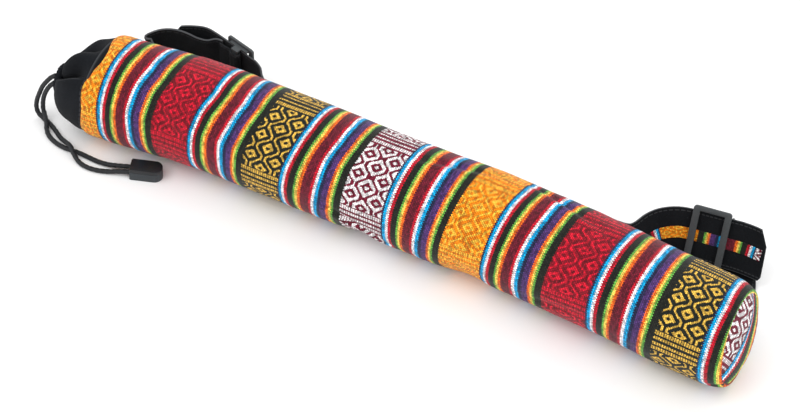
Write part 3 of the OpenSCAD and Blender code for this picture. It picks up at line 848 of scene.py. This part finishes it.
def on_floor(points, rest=0.4, soft=1.2):
    """Lifts points that are under the floor, with a soft turn where they come to rest."""
    over = points[:, 2] - rest
    points[:, 2] = 0.5 * (points[:, 2] + rest + np.sqrt(over ** 2 + soft ** 2 * np.exp(-np.abs(over) / 6)))
    return points


SEAM_TURNS = [-180, -120, -82, -56, -44, -34, -21, -10, 0, 5, 15, 23, 42, 80, 120, 180]
SEAM_SHIFT = [0, -1.5, -1.8, 0.6, 3.3, 5.2, 5.4, 3.2, 2.0, 0, -1.0, -0.3, 1.6, -1.2, 0.8, 0]
seam_line = curve_through(np.column_stack([SEAM_TURNS, SEAM_SHIFT]), 8)


def seam_wave(phi):
    """How far the mouth's seam wanders along the bag."""
    return np.interp(np.degrees(phi), seam_line[:, 0], seam_line[:, 1])


PULL_FROM, PULL_TO, PULL, PULL_TILT, PULL_SIDE = 215, 275, 5.6, 3.0, math.radians(40)


def end_pull(x, theta, share=1.0):
    """How far the base end is drawn in, more at its upper back than at its lower front."""
    return smooth_step(PULL_FROM, PULL_TO, x) * (PULL + PULL_TILT * share * np.cos(theta - PULL_SIDE))


print("bow from", min(BOW_Y), "to", max(BOW_Y), "mm")

# %% [markdown]
# The padding lets the cloth crease. Each crease is one long shallow hollow at a slant, some with a low
# ridge beside it, and two wider hollows under the lower edge go through all the layers.

# %% Creases
# Place along, turn, half length, half width, slant, depth (a ridge below nought)
CREASES = [
    (-38, 63, 26, 2.6, 24, 3.0), (-38, 70, 28, 4, 24, -1.6), (22, -50, 30, 3.2, -14, 2.4),
    (22, -44, 30, 5, -14, -1.0), (112, -62, 34, 3.2, 16, 2.6), (112, -55, 34, 5, 16, -1.0),
    (-236, -28, 24, 5, 34, 1.6), (-160, 2, 26, 6, 40, 1.4), (-215, 20, 30, 7, 30, 0.9),
    (130, 62, 34, 4, -12, 1.6), (205, 70, 26, 5, 10, 1.0), (60, 66, 22, 4, 20, 1.0)]
HOLLOWS = [(-38, 84, 13, 14, 0, 2.8), (53, 82, 15, 14, 0, 3.0)]


def dent(x, phi, px, turn, length, width, slant, depth):
    dx = x - px
    da = (phi - math.radians(turn)) * TUBE_R
    c, q = math.cos(math.radians(slant)), math.sin(math.radians(slant))
    along, across = dx * c + da * q, -dx * q + da * c
    return depth * np.exp(-(along / length) ** 2 - (across / width) ** 2)


def dents(x, phi, folds):
    return sum(dent(x, phi, *fold) for fold in folds)


print(len(CREASES), "creases and", len(HOLLOWS), "hollows")

# %% [markdown]
# ## Woven tube
# The outside of the bag is one wall of cloth round the padding. Its section is drawn from the mouth's
# seam to the base, where it rolls over the edge and turns in to the base panel. The cloth keeps its
# own measure in the UV map, which is held to the places of its white stripes.

# %% Tube section
SECTION = [(-281.0, 40.9), (-279.5, 41.7), (-276, 42.3), (-268, 42.5), (-200, 42.5), (0, 42.5), (200, 42.5),
           (248, 42.5), (262, 42.2), (270, 41.5), (275.5, 40.2), (279.6, 38.5), (281.4, 36.8),
           (281.2, 35.3), (279.4, 34.6)]
section = evenly(curve_through(SECTION, 10), 900)
section_len = length_along(section)
print("cloth from mouth to base:", round(section_len[-1], 1), "mm")

# %% Pattern measure
# The white stripes' places along the bag, at seven turns round it from its upper to its lower outline
LINE_TURNS = [-75, -50, -25, 0, 25, 50, 75]
WHITE_LINES = [
    [-263.8, -262.9, -263.0, -262.7, -262.1, -260.8, -259.9],
    [-236.8, -236.8, -238.2, -240.8, -240.8, -238.2, -237.6],
    [-178.4, -178.2, -177.6, -181.7, -183.9, -183.6, -182.3],
    [-156.0, -154.4, -153.3, -157.2, -161.1, -159.5, -158.5],
    [-93.2, -93.2, -94.0, -96.4, -99.6, -100.9, -101.1], [-69.8, -67.8, -68.0, -71.6, -73.0, -75.0, -76.7],
    [-6.7, -7.2, -8.3, -9.7, -10.3, -9.6, -9.7], [20.0, 18.7, 17.5, 16.6, 15.2, 13.8, 12.5],
    [83.5, 83.4, 81.2, 79.5, 77.4, 75.2, 73.2], [109.9, 107.4, 106.1, 103.0, 100.6, 99.3, 99.0],
    [173.0, 173.0, 171.8, 170.6, 169.6, 169.3, 168.6], [198.9, 200.3, 199.7, 198.3, 197.4, 196.1, 193.8],
    [267.7, 269.1, 270.2, 268.9, 267.9, 266.5, 265.6]]
SECOND_WHITE, BEFORE_FIRST, AFTER_LAST = 26.55, 84, 27.4
line_measures = [REPEAT * (k // 2) + SECOND_WHITE * (k % 2) for k in range(len(WHITE_LINES))]


def pattern_at(x, phi):
    """The cloth's measure at a place on the tube, counted between the white stripes on its two sides."""
    turns = np.radians([-180, *LINE_TURNS, 180])
    lines = []
    for row in WHITE_LINES:
        back = (row[0] + row[-1]) / 2
        lines.append(np.interp(phi, turns, [back, *row, back]))
    lines = [lines[0] - BEFORE_FIRST, *lines, lines[-1] + AFTER_LAST]
    measures = [-REPEAT, *line_measures, line_measures[-1] + SECOND_WHITE]
    total = np.full_like(x, measures[0])
    for left, right, m0, m1 in zip(lines[:-1], lines[1:], measures[:-1], measures[1:]):
        total += (m1 - m0) * np.clip((x - left) / (right - left), 0, None if m1 == measures[-1] else 1)
    return total


# Where the roll turns in, the cloth's measure goes on by its own length
ROLL_FROM, ROLL_TO = 262, 280
turn_in = int(np.argmax(section[:, 0] > ROLL_FROM))
straight_x = np.where(np.arange(len(section)) < turn_in, section[:, 0],
                      section[turn_in, 0] + section_len - section_len[turn_in])
print(len(WHITE_LINES), "white stripes hold the pattern")

# %% Tube of cloth
TUBE_ALONG, TUBE_AROUND, TUBE_WALL = 260, 120, 1.3
MOUTH_FROM, MOUTH_TO, PATTERN_PULL, PATTERN_SKEW = -281, -262, 0.5, 8.8
TUCK_AT, TUCK_HALF, TUCK_DEPTH = math.radians(84), math.radians(5), 2.6
tube, u, v = flat_grid("tube_cloth", TUBE_ALONG, TUBE_AROUND)
x, r, measure = (np.interp(u * section_len[-1], section_len, values)
                 for values in (section[:, 0], section[:, 1], straight_x))
phi = math.pi - FULL_TURN * v
theta = FRONT_UP + phi
past_mouth = smooth_step(MOUTH_FROM, MOUTH_TO, x)
fade = past_mouth * (1 - smooth_step(255, ROLL_TO, x))
r = r + fade * (0.55 * ripple(x, theta, 3, 26) + 0.25 * ripple(x, theta, 5, 9))
r = r - dents(x, phi, CREASES + HOLLOWS)
r = r - TUCK_DEPTH * smooth_step(ROLL_FROM, ROLL_TO, x) * np.exp(-((phi - TUCK_AT) / TUCK_HALF) ** 2)
mouth_shift = (1 - past_mouth) * seam_wave(phi)
pull = end_pull(x, theta)
drift = fade * (0.5 * ripple(x, theta, 11, 40) + 0.4 * ripple(x, theta, 12, 12))
lay(tube, on_floor(on_tube(x + mouth_shift - pull, x, r, theta)),
    pattern_at(measure + mouth_shift - PATTERN_PULL * pull, phi) + drift,
    phi * TUBE_R + PATTERN_SKEW * smooth_step(120, 235, x))
hand_in_wall(tube, TUBE_WALL, striped_finish, "woven_cloth", "woven_tube")

# %% [markdown]
# ## Base panel
# A round of the same cloth closes the base, sewn in behind the rolled edge. Its stripes lie aslant, so
# its UV map is turned: the measure grows towards the lower back, where the narrow stripes show.

# %% Base panel
BASE_R, BASE_SWELL, BASE_X, BASE_BOW_AT, BASE_WALL, PUCKERS = 37.6, 8.5, 279.8, 277, 1.2, 19
SLANT_COS, SLANT_SIN = 0.536, 0.844
LOW_PLACES = [-40, -13, -10, -6.5, -2.5, 8, 12, 16, 20, 40]
HIGH_PLACES = [-40, -8, -7.7, -7.4, -5, 1, 4, 7, 10, 40]
BASE_MEASURES = [-31, -3.2, -1.4, 1.3, 3.9, 8.7, 10.5, 12.7, 14.9, 26]
base, u, v = flat_grid("base_cloth", 36, 96)
turn = FULL_TURN * v
rr = u * BASE_R
y, z = rr * np.cos(turn), rr * np.sin(turn)
pucker = 0.3 * np.sin(PUCKERS * turn + 2 * np.sin(turn)) + 0.5 * ripple(y * 3, turn, 21, 30)
x = BASE_X - end_pull(BASE_X, turn, u) + BASE_SWELL * (1 - u ** 2.6) + pucker * u ** 3
across = SLANT_COS * y - SLANT_SIN * z
along = SLANT_SIN * y + SLANT_COS * z
low, high = (np.interp(across, places, BASE_MEASURES) for places in (LOW_PLACES, HIGH_PLACES))
measure = 7 * REPEAT + low + (high - low) * smooth_step(-15, 20, along)
lay(base, on_tube(x, BASE_BOW_AT, rr, turn), measure, along - 10)
hand_in_wall(base, BASE_WALL, striped_finish, "woven_cloth", "base_panel")

# %% [markdown]
# ## Inside layers
# Behind the cloth lie foam padding and a thin lining, and tapes cover the two end seams. They are
# lofted as walls on the same bowed line, so nothing shows through if the mouth is looked into.

# %% Padding, lining and tapes
LAYER_GIVE, LAYER_LOOSE = 0.25, 0.6


def wall(name, x0, x1, r_out, thick, finish, slot, node, seed):
    piece, u, v = flat_grid(name, max(6, int((x1 - x0) / 6)), 72)
    x = x0 + (x1 - x0) * u
    turn = -FULL_TURN * v
    r = r_out - LAYER_GIVE + LAYER_GIVE * ripple(x, turn, seed, 22) - dents(x, from_front(turn), HOLLOWS)
    lay(piece, on_tube(x - end_pull(x, turn), x, r, turn), x, turn * r_out)
    return hand_in_wall(piece, thick, finish, slot, node)


def round_layer(name, x1, radius, thick, finish, slot, node, seed):
    piece, u, v = flat_grid(name, 18, 64)
    turn = FULL_TURN * v
    y, z = u * radius * np.cos(turn), u * radius * np.sin(turn)
    x = x1 - LAYER_LOOSE - end_pull(x1, turn, u) + (BASE_SWELL - 0.5) * (1 - u ** 2)
    x = x + 0.3 * ripple(y * 4, turn, seed, 30) * u
    lay(piece, on_tube(x, BASE_BOW_AT, u * radius, turn), y, z)
    return hand_in_wall(piece, thick, finish, slot, node)


padding = wall("padding_wrap", -267.6, 255.2, 40.5, 4.7, foam, "foam", "padding_tube", 31)
padding_end = round_layer("padding_round", 276.2, 36.0, 4.8, foam, "foam", "padding_base", 32)
lining = wall("lining_sleeve", -267.6, 270.0, 35.3, 0.8, cotton, "black_cotton", "lining_tube", 33)
lining_end = round_layer("lining_round", 271.0, 35.0, 0.8, cotton, "black_cotton", "lining_base", 34)
wall("collar_tape", -281.5, -268.2, 40.2, 0.9, tape_cotton, "black_cotton", "collar_seam_tape", 35)
wall("base_tape", 256.0, 268.8, 40.2, 0.9, tape_cotton, "black_cotton", "base_seam_tape", 36)

# %% [markdown]
# ## Collar
# The black collar is sewn to the tube's mouth and gathered on the drawstring. It hangs slack: the lower
# front bulges in one smooth panel whose upper edge folds over, and above that fold the cloth runs up in
# pleats. The shape is a dome drawn to the mouth, with pleats that deepen towards it and one deep step.

# %% Collar
MOUTH = np.array([-314.9, -17.0, 41.0])
MOUTH_R, COLLAR_R, COLLAR_X, COLLAR_WALL, COLLAR_DEEP, WEAVE_R = 9.6, 40.4, -279.4, 1.1, 52, 28
FOLD_AT, FOLD_DEPTH, LIP_RISE, PUFF_AT, PUFF_RISE, LOW_FRONT = 136, 12.5, 2.8, 106, 4.4, math.radians(219.9)
# Where a pleat's valley runs, how deep it is and how wide
PLEATS = [(82, 5.6, 12), (45, 3.4, 11), (10, 3.6, 12), (-28, 3.4, 11), (-64, 3.6, 12), (-98, 2.6, 11)]
collar, u, v = flat_grid("collar_cloth", 48, 280)
theta = FULL_TURN * v
low_front = 0.5 + 0.5 * np.cos(theta - LOW_FRONT)
swell = 0.40 + 0.66 * low_front
turn = u * math.pi / 2
radius_share = (1 - u) + (np.cos(turn) - (1 - u)) * swell
reach_share = u + (np.sin(turn) - u) * swell
x = COLLAR_X + seam_wave(from_front(theta)) * (1 - smooth_step(0, 0.7, u))
x = x + (MOUTH[0] - COLLAR_X) * reach_share
r = MOUTH_R + (COLLAR_R - MOUTH_R) * radius_share
deepen = smooth_step(0.03, 0.4, u) * (1 - 0.55 * smooth_step(0.78, 1, u))


def off(angle):
    """Degrees round the collar from an angle, along pleats that wander a little."""
    wander = 4 * np.sin(u * 5 + math.radians(angle) * 3)
    return (np.degrees(theta) + wander - angle + 180) % 360 - 180


for angle, pleat_depth, width in PLEATS:
    away = np.abs(off(angle))
    valley = np.exp(-away / (width * 0.55)) - 0.45 * np.exp(-((away - 1.5 * width) / width) ** 2)
    r = r - deepen * pleat_depth * valley
away = off(FOLD_AT)
hollow = np.where(away < 0, np.exp(away / 15), smooth_step(3.5, 0, away))
lip = np.where(away >= 0, smooth_step(0, 4, away) * np.exp(-away / 26), 0)
r = r - FOLD_DEPTH * deepen * hollow + LIP_RISE * deepen * lip
puff = np.exp(-(off(PUFF_AT) / 15) ** 2) * smooth_step(0.1, 0.5, u) * (1 - smooth_step(0.78, 0.93, u))
r = r + PUFF_RISE * puff + 0.5 * smooth_step(0, 0.3, u) * ripple(x * 3, theta, 41, 18)
bend = smooth_step(0, 1, u)
cy = bow(COLLAR_X) + (MOUTH[1] - bow(COLLAR_X)) * bend
cz = AXIS_Z + (MOUTH[2] - AXIS_Z) * bend
points = np.column_stack([x, cy + r * np.cos(theta), cz + r * np.sin(theta)])
lay(collar, on_floor(points), u * COLLAR_DEEP, theta * WEAVE_R)
hand_in_wall(collar, COLLAR_WALL, collar_cotton, "black_cotton", "collar", smooth=70)

# %% Hem and the drawstring inside it
HEM_AT, HEM_MAJOR, HEM_R, GATHERS = np.array([-315.6, -17.0, 41.0]), 9.9, 3.3, 26
hem, u, v = flat_grid("collar_hem_cloth", 200, 26)
turn, roll = FULL_TURN * u, -FULL_TURN * v
gather = 1 + 0.07 * np.sin(GATHERS * turn + 2 * np.sin(3 * turn)) + 0.04 * np.sin(11 * turn + 1)
rr = HEM_R * gather
rad = HEM_MAJOR + rr * np.cos(roll) + 0.5 * np.sin(4 * turn + 1)
points = HEM_AT + np.column_stack([rr * np.sin(roll), rad * np.cos(turn), rad * np.sin(turn)])
lay(hem, points, turn * HEM_MAJOR, roll * HEM_R)
close_seam(hem)
hand_in(hem, cotton, "black_cotton", "collar_hem", smooth=70)

circle = np.linspace(0, FULL_TURN, 161)
loop_line = HEM_AT + HEM_MAJOR * np.column_stack([0 * circle, np.cos(circle), np.sin(circle)])
loop = braided("cord_loop", loop_line, around=14, ring=True)
hand_in(loop, cord_finish, "black_cord", "drawstring_loop")

# %% [markdown]
# ## Straps
# The shoulder strap is a band of doubled black cotton. It lies along the back of the bag and stands on
# edge where it goes through its two sliders. Its route is a list of stations: the place of its middle,
# the height of its lower edge and its lean, and the band is swept along the curve through them.

# %% Strap stations
STRAP_W, STRAP_T, BAND_W, BAND_T, BAND_EDGE = 40.0, 1.6, 39.6, 1.5, 0.4
STATION_STEP, CUT_OVER = 2.2, 30
RUN_MOUTH = (np.array([-210, 75.5]), math.radians(-15), 4.8, -90)
RUN_BASE = (np.array([201, 91]), math.radians(8.5), 8.0, 56)


def run(straight, s):
    at, turn, lift, lean = straight
    return (at[0] + s * math.cos(turn), at[1] + s * math.sin(turn), lift, lean)


STRAP = [(-267, 73.5, 4.8, -90), (-256.5, 80, 4.8, -90), (-245, 83.8, 4.8, -90),
         *[run(RUN_MOUTH, s) for s in (-24, -18, 0, 14, 20)],
         (-184, 66.5, 4.4, -90), (-179, 61, 4, -88), (-171, 57.5, 3, -80), (-159, 58, 1, -66),
         (-138, 61, 0.3, -44), (-108, 62, 0.3, -20), (-66, 63, 0.3, -4), (0, 64, 0.3, 0), (60, 63, 0.3, 4),
         (92, 61, 0.3, 12), (110, 58.5, 0.3, 22), (124, 56.5, 0.3, 36), (135, 56, 0.4, 49),
         (146, 56.5, 0.4, 55), (154, 60, 0.4, 58), (158.5, 67.5, 0.4, 60), (162, 77, 1.6, 60),
         (167.4, 83, 3.4, 57), (177.3, 87.1, 6.7, 56),
         *[run(RUN_BASE, s) for s in (-14, 0, 20, 26)],
         (236, 95.2, 7.9, 57), (246.5, 94.4, 7.7, 60)]
STRAP_MOUTH = [(-262, 40.3, 5, -65), (-272, 41.4, 4.8, -68), (-280, 45.5, 4.4, -70), (-285.5, 52, 4.0, -71),
               (-286, 59, 4.6, -73), (-279, 64.5, 6.6, -77), (-266, 69.8, 9.0, -83), (-251, 74.6, 5.6, -80),
               (-240, 78.0, 4.0, -81), (-231.3, 80.5, 4.2, -87), run(RUN_MOUTH, -14.5)]
print(len(STRAP), "and", len(STRAP_MOUTH), "stations")

# %% Strap tools
def strap_frame(stations, steps=12):
    """Middle line of a strap, with its along, across and ribbon-side directions."""
    s = np.array(stations, float)
    rise = STRAP_W / 2 * np.abs(np.sin(np.radians(s[:, 3])))
    c = curve_through(np.column_stack([s[:, 0], s[:, 1], s[:, 2] + rise, s[:, 3]]), steps)
    c = evenly(c, int(length_along(c[:, :3])[-1] / STATION_STEP))
    t = tangents(c[:, :3])
    h = unit(np.cross([0, 0, 1.0], t))
    up = np.cross(t, h)
    lean = np.radians(c[:, 3])[:, None]
    across = np.cos(lean) * h + np.sin(lean) * up
    return c[:, :3], t, across, np.cross(t, across)


def band(name, path, width, n0, columns=20, ends=None):
    """A strap along a path. Its ends can be cut aslant: (across, cut at the start, reach at the end)."""
    mid, along, across, normal = path
    piece, u, v = flat_grid(name, len(mid) - 1, columns)
    place = length_along(mid)
    total = place[-1]
    s = u * total
    w = (v - 0.5) * width
    if ends is not None:
        ends = np.array(ends, float)
        s = s + np.interp(w, ends[:, 0], ends[:, 1]) * np.clip(1 - s / CUT_OVER, 0, 1)
        s = s + np.interp(w, ends[:, 0], ends[:, 2]) * np.clip((s - total + CUT_OVER) / CUT_OVER, 0, 1)

    def at(values):
        return np.column_stack([np.interp(s, place, values[:, k]) for k in range(3)])

    points = at(mid) + w[:, None] * at(across) + (n0 + cloth_wave(s, w))[:, None] * at(normal)
    lay(piece, points + np.maximum(s - total, 0)[:, None] * along[-1], s, w)
    return piece


def cloth_wave(s, w):
    """A strap is never quite flat: slow waves, and edges that curl a little."""
    return 0.35 * np.sin(s / 13 + w / 8) * np.abs(w) / 20 + 0.3 * np.sin(s / 31 + 1)


strap_path, mouth_path = strap_frame(STRAP), strap_frame(STRAP_MOUTH)
strap_len = length_along(strap_path[0])
slider_at = strap_len[np.argmin(np.linalg.norm(strap_path[0][:, :2] - RUN_BASE[0], axis=1))]
print("strap", round(strap_len[-1], 1), "mm, its base slider at", round(slider_at, 1))

# %% Long strap and its ribbon
STRAP_ENDS = [(-20, 5, 3), (-17, 2, 5), (-9, 0, 4), (0, 0, 3), (8, 0, 2), (20, 2, -6)]
strap = band("strap_band", strap_path, BAND_W, STRAP_T / 2, ends=STRAP_ENDS)
hand_in_strip(strap, BAND_T, BAND_EDGE, webbing, "black_cotton", "strap")
RIBBON_W, RIBBON_T, RIBBON_SCALE, RIBBON_FINER, RIBBON_FROM = 9, 0.5, 0.88, 2.2, 3 * REPEAT + 41.0
ribbon = band("ribbon_band", strap_path, RIBBON_W, STRAP_T + 0.35, columns=6)
uv = np.empty(len(ribbon.data.loops) * 2)
layer = ribbon.data.uv_layers["UVMap"].data
layer.foreach_get("uv", uv)
uv[0::2] = RIBBON_FROM * MM - (uv[0::2] - slider_at * MM) / RIBBON_SCALE
uv[1::2] *= RIBBON_FINER
layer.foreach_set("uv", uv)
hand_in_strip(ribbon, RIBBON_T, 0.12, striped_finish, "woven_cloth", "strap_ribbon")

# %% Short strap at the mouth
BEHIND_SLIDER = -1.1
mouth_strap = band("strap_mouth_band", mouth_path, BAND_W, BEHIND_SLIDER)
hand_in_strip(mouth_strap, BAND_T, BAND_EDGE, webbing, "black_cotton", "strap_mouth")

# %% [markdown]
# The short strap from the base lies on the floor, climbs behind the long one and folds over aslant to
# its slider. It is lofted between its two edges, each a curve through the same number of points.

# %% Short strap at the base
def run_place(straight):
    """A straight run's own x, y and z, and its middle."""
    at, turn, lift, lean = straight
    lean = math.radians(lean)
    along = np.array([math.cos(turn), math.sin(turn), 0])
    aside = np.array([-math.sin(turn), math.cos(turn), 0])
    across = math.cos(lean) * aside + np.array([0, 0, math.sin(lean)])
    middle = np.array([*at, lift + STRAP_W / 2 * abs(math.sin(lean))])
    return [along, across, np.cross(along, across)], middle


BASE_PLACE, MOUTH_PLACE = run_place(RUN_BASE), run_place(RUN_MOUTH)


def by_run(x, y, z):
    along, across, out = BASE_PLACE[0]
    return BASE_PLACE[1] + x * along + y * across + z * out


EDGE_A = [(216, 29.8, 8.9), (216, 36, 4.8), (216, 42, 2.2), (216, 50, 1.1), (216, 66, 1.1), (215.5, 76, 1.4),
          by_run(15.5, -19, -6.4), by_run(15.5, 16, -6.4), by_run(17, 17.5, -3.75), by_run(15.7, 17, -1.1),
          by_run(14.5, 19, -1.1)]
EDGE_B = [(256, 29.8, 8.9), (256, 36, 4.8), (256, 42, 2.2), (256, 50, 1.1), (254, 66, 1.1), (250, 80, 1.4),
          by_run(43, -19, -6.4), by_run(43, -18, -6.4), by_run(44.5, -16.5, -3.75), by_run(43, -18, -1.1),
          by_run(14.5, -19, -1.1)]
edge_a, edge_b = curve_through(EDGE_A, 9), curve_through(EDGE_B, 9)
base_strap, u, v = flat_grid("strap_base_band", len(edge_a) - 1, 18)
row = row_of(u, edge_a)
points = edge_a[row] + (edge_b[row] - edge_a[row]) * v[:, None]
run_len = length_along((edge_a + edge_b) / 2)
lay(base_strap, points, run_len[row], (v - 0.5) * STRAP_W)
hand_in_strip(base_strap, BAND_T, BAND_EDGE, webbing, "black_cotton", "strap_base")
print("short base strap about", round(run_len[-1], 1), "mm")

# %% [markdown]
# ## Patches
# Each short strap is sewn to a patch of black cotton on the back of the tube. The patch lies on the
# tube's own curve, a little lifted, with a row of stitches along two of its edges.

# %% Patches
PATCH_R = TUBE_R + 1.0


def patch(name, x0, x1, down, half, node):
    piece, u, v = flat_grid(name, 16, 20)
    x = x0 + (x1 - x0) * u
    turn = np.radians(-down + half * (1 - 2 * v))
    lay(piece, on_tube(x, x, PATCH_R, turn), x, (turn + math.radians(down)) * PATCH_R)
    return hand_in_strip(piece, BAND_T, BAND_EDGE, patch_cotton, "black_cotton", node)


patch("patch_base", 214, 258, 48, 18, "strap_base_patch")
patch("patch_mouth", -278, -260, 25, 27, "strap_mouth_patch")

# %% [markdown]
# ## Sliders
# A slider is one moulded frame: two outer bars over the strap, a cheek at each end, and a middle bar
# behind. A flat block is cut by bisecting planes and its middle is opened. A skirt is drawn down under
# each cheek and a tab under each skirt, and the middle bar is joined to the tabs.

# %% Slider
SLIDER_L, HALF, CHEEK, BAR_W = 28.0, 20.3, 4.0, 4.5
BAR_LOW, BAR_HIGH, MIDDLE_LOW, MIDDLE_HIGH, MIDDLE_W = 2.5, 4.7, -4.4, -2.2, 5.6
TAB, TAB_T, SKIRT_LOW = 7.0, 1.7, 0.2
CORNER, ROUNDING, NEAR = 2.6, 0.55, 0.01


def slider_frame(name, reach=0.0, bar_w=BAR_W):
    out = HALF + CHEEK
    left, right = -SLIDER_L / 2, SLIDER_L / 2 + reach
    start, stop = left + bar_w, right - bar_w
    piece = block(name, (left, -out, BAR_LOW), (right, out, BAR_HIGH))
    cuts_x = (start, -TAB / 2, TAB / 2, stop)
    cuts_y = (-HALF - TAB_T, -HALF, HALF, HALF + TAB_T)
    with editing(piece):
        for axis, place in [(0, x) for x in cuts_x] + [(1, y) for y in cuts_y]:
            point, normal = [0, 0, 0], [0, 0, 0]
            point[axis], normal[axis] = place * MM, 1
            bpy.ops.mesh.select_all(action="SELECT")
            bpy.ops.mesh.bisect(plane_co=point, plane_no=normal)
    with picked(piece, "FACE", lambda c, n: start < c.x < stop and abs(c.y) < 1 and abs(n.z) > 0.9):
        bpy.ops.mesh.bridge_edge_loops()
    for side in (-1, 1):
        for x0, x1, high, low in ((start, stop, BAR_LOW, SKIRT_LOW), (-1, 1, SKIRT_LOW, MIDDLE_LOW)):
            with picked(piece, "FACE", lambda c, n: n.z < -0.9 and HALF < side * c.y < HALF + TAB_T
                        and x0 < c.x < x1 and abs(c.z - high) < 0.1):
                extrude(low - high)
    bar = block("middle", (-MIDDLE_W / 2, -HALF - 1, MIDDLE_LOW), (MIDDLE_W / 2, HALF + 1, MIDDLE_HIGH))
    combine(piece, bar, "UNION")

    def at_corner(a, b):
        upright = max(abs(a.x - b.x), abs(a.y - b.y)) < NEAR
        return upright and min(abs(a.x - left), abs(a.x - right)) < NEAR and abs(abs(a.y) - out) < NEAR

    with picked(piece, "EDGE", at_corner):
        bpy.ops.mesh.bevel(offset=CORNER * MM, segments=4)
    round_off(piece, ROUNDING, 2, 35)
    return piece


for piece, place, body, node in (
        (slider_frame("slider_frame_base", reach=2.8, bar_w=5.4), BASE_PLACE, "base_slider", "slider_base"),
        (slider_frame("slider_frame_mouth"), MOUTH_PLACE, "mouth_slider", "slider_mouth")):
    place_mesh(piece, *place)
    hand_in(piece, slider_plastic, "grey_plastic", node, body=body)

# %% [markdown]
# Behind each slider the short strap's end goes round the middle bar and is sewn to itself. It is one
# strip of cotton carried round the bar.

# %% Sewn ends
LOOP = [(-16, -4.3), (-11, -4.0), (-6.5, -3.5), (-4.6, -3.8), (-3.9, -4.8), (-2.4, -5.5), (0, -5.5),
        (2.4, -5.5), (3.9, -4.6), (3.9, -2.4), (2.6, -1.1), (0, -1.1), (-2.4, -1.1), (-3.9, -1.9)]
SEWN_W = 37.6
loop_around = evenly(curve_through(LOOP, 8), 70)
for name, (axes, origin), side, body, node in (
        ("sewn_end_base", BASE_PLACE, -1, "base_slider", "strap_base_sewn_end"),
        ("sewn_end_mouth", MOUTH_PLACE, 1, "mouth_slider", "strap_mouth_sewn_end")):
    piece, u, v = flat_grid(name, len(loop_around) - 1, 14)
    row = row_of(u, loop_around)
    w = (v - 0.5) * SEWN_W
    local = np.column_stack([side * loop_around[row, 0], side * w, loop_around[row, 1]])
    lay(piece, origin + local @ np.array(axes, float), length_along(loop_around)[row], w)
    hand_in_strip(piece, BAND_T, 0.35, webbing, "black_cotton", node, body=body)
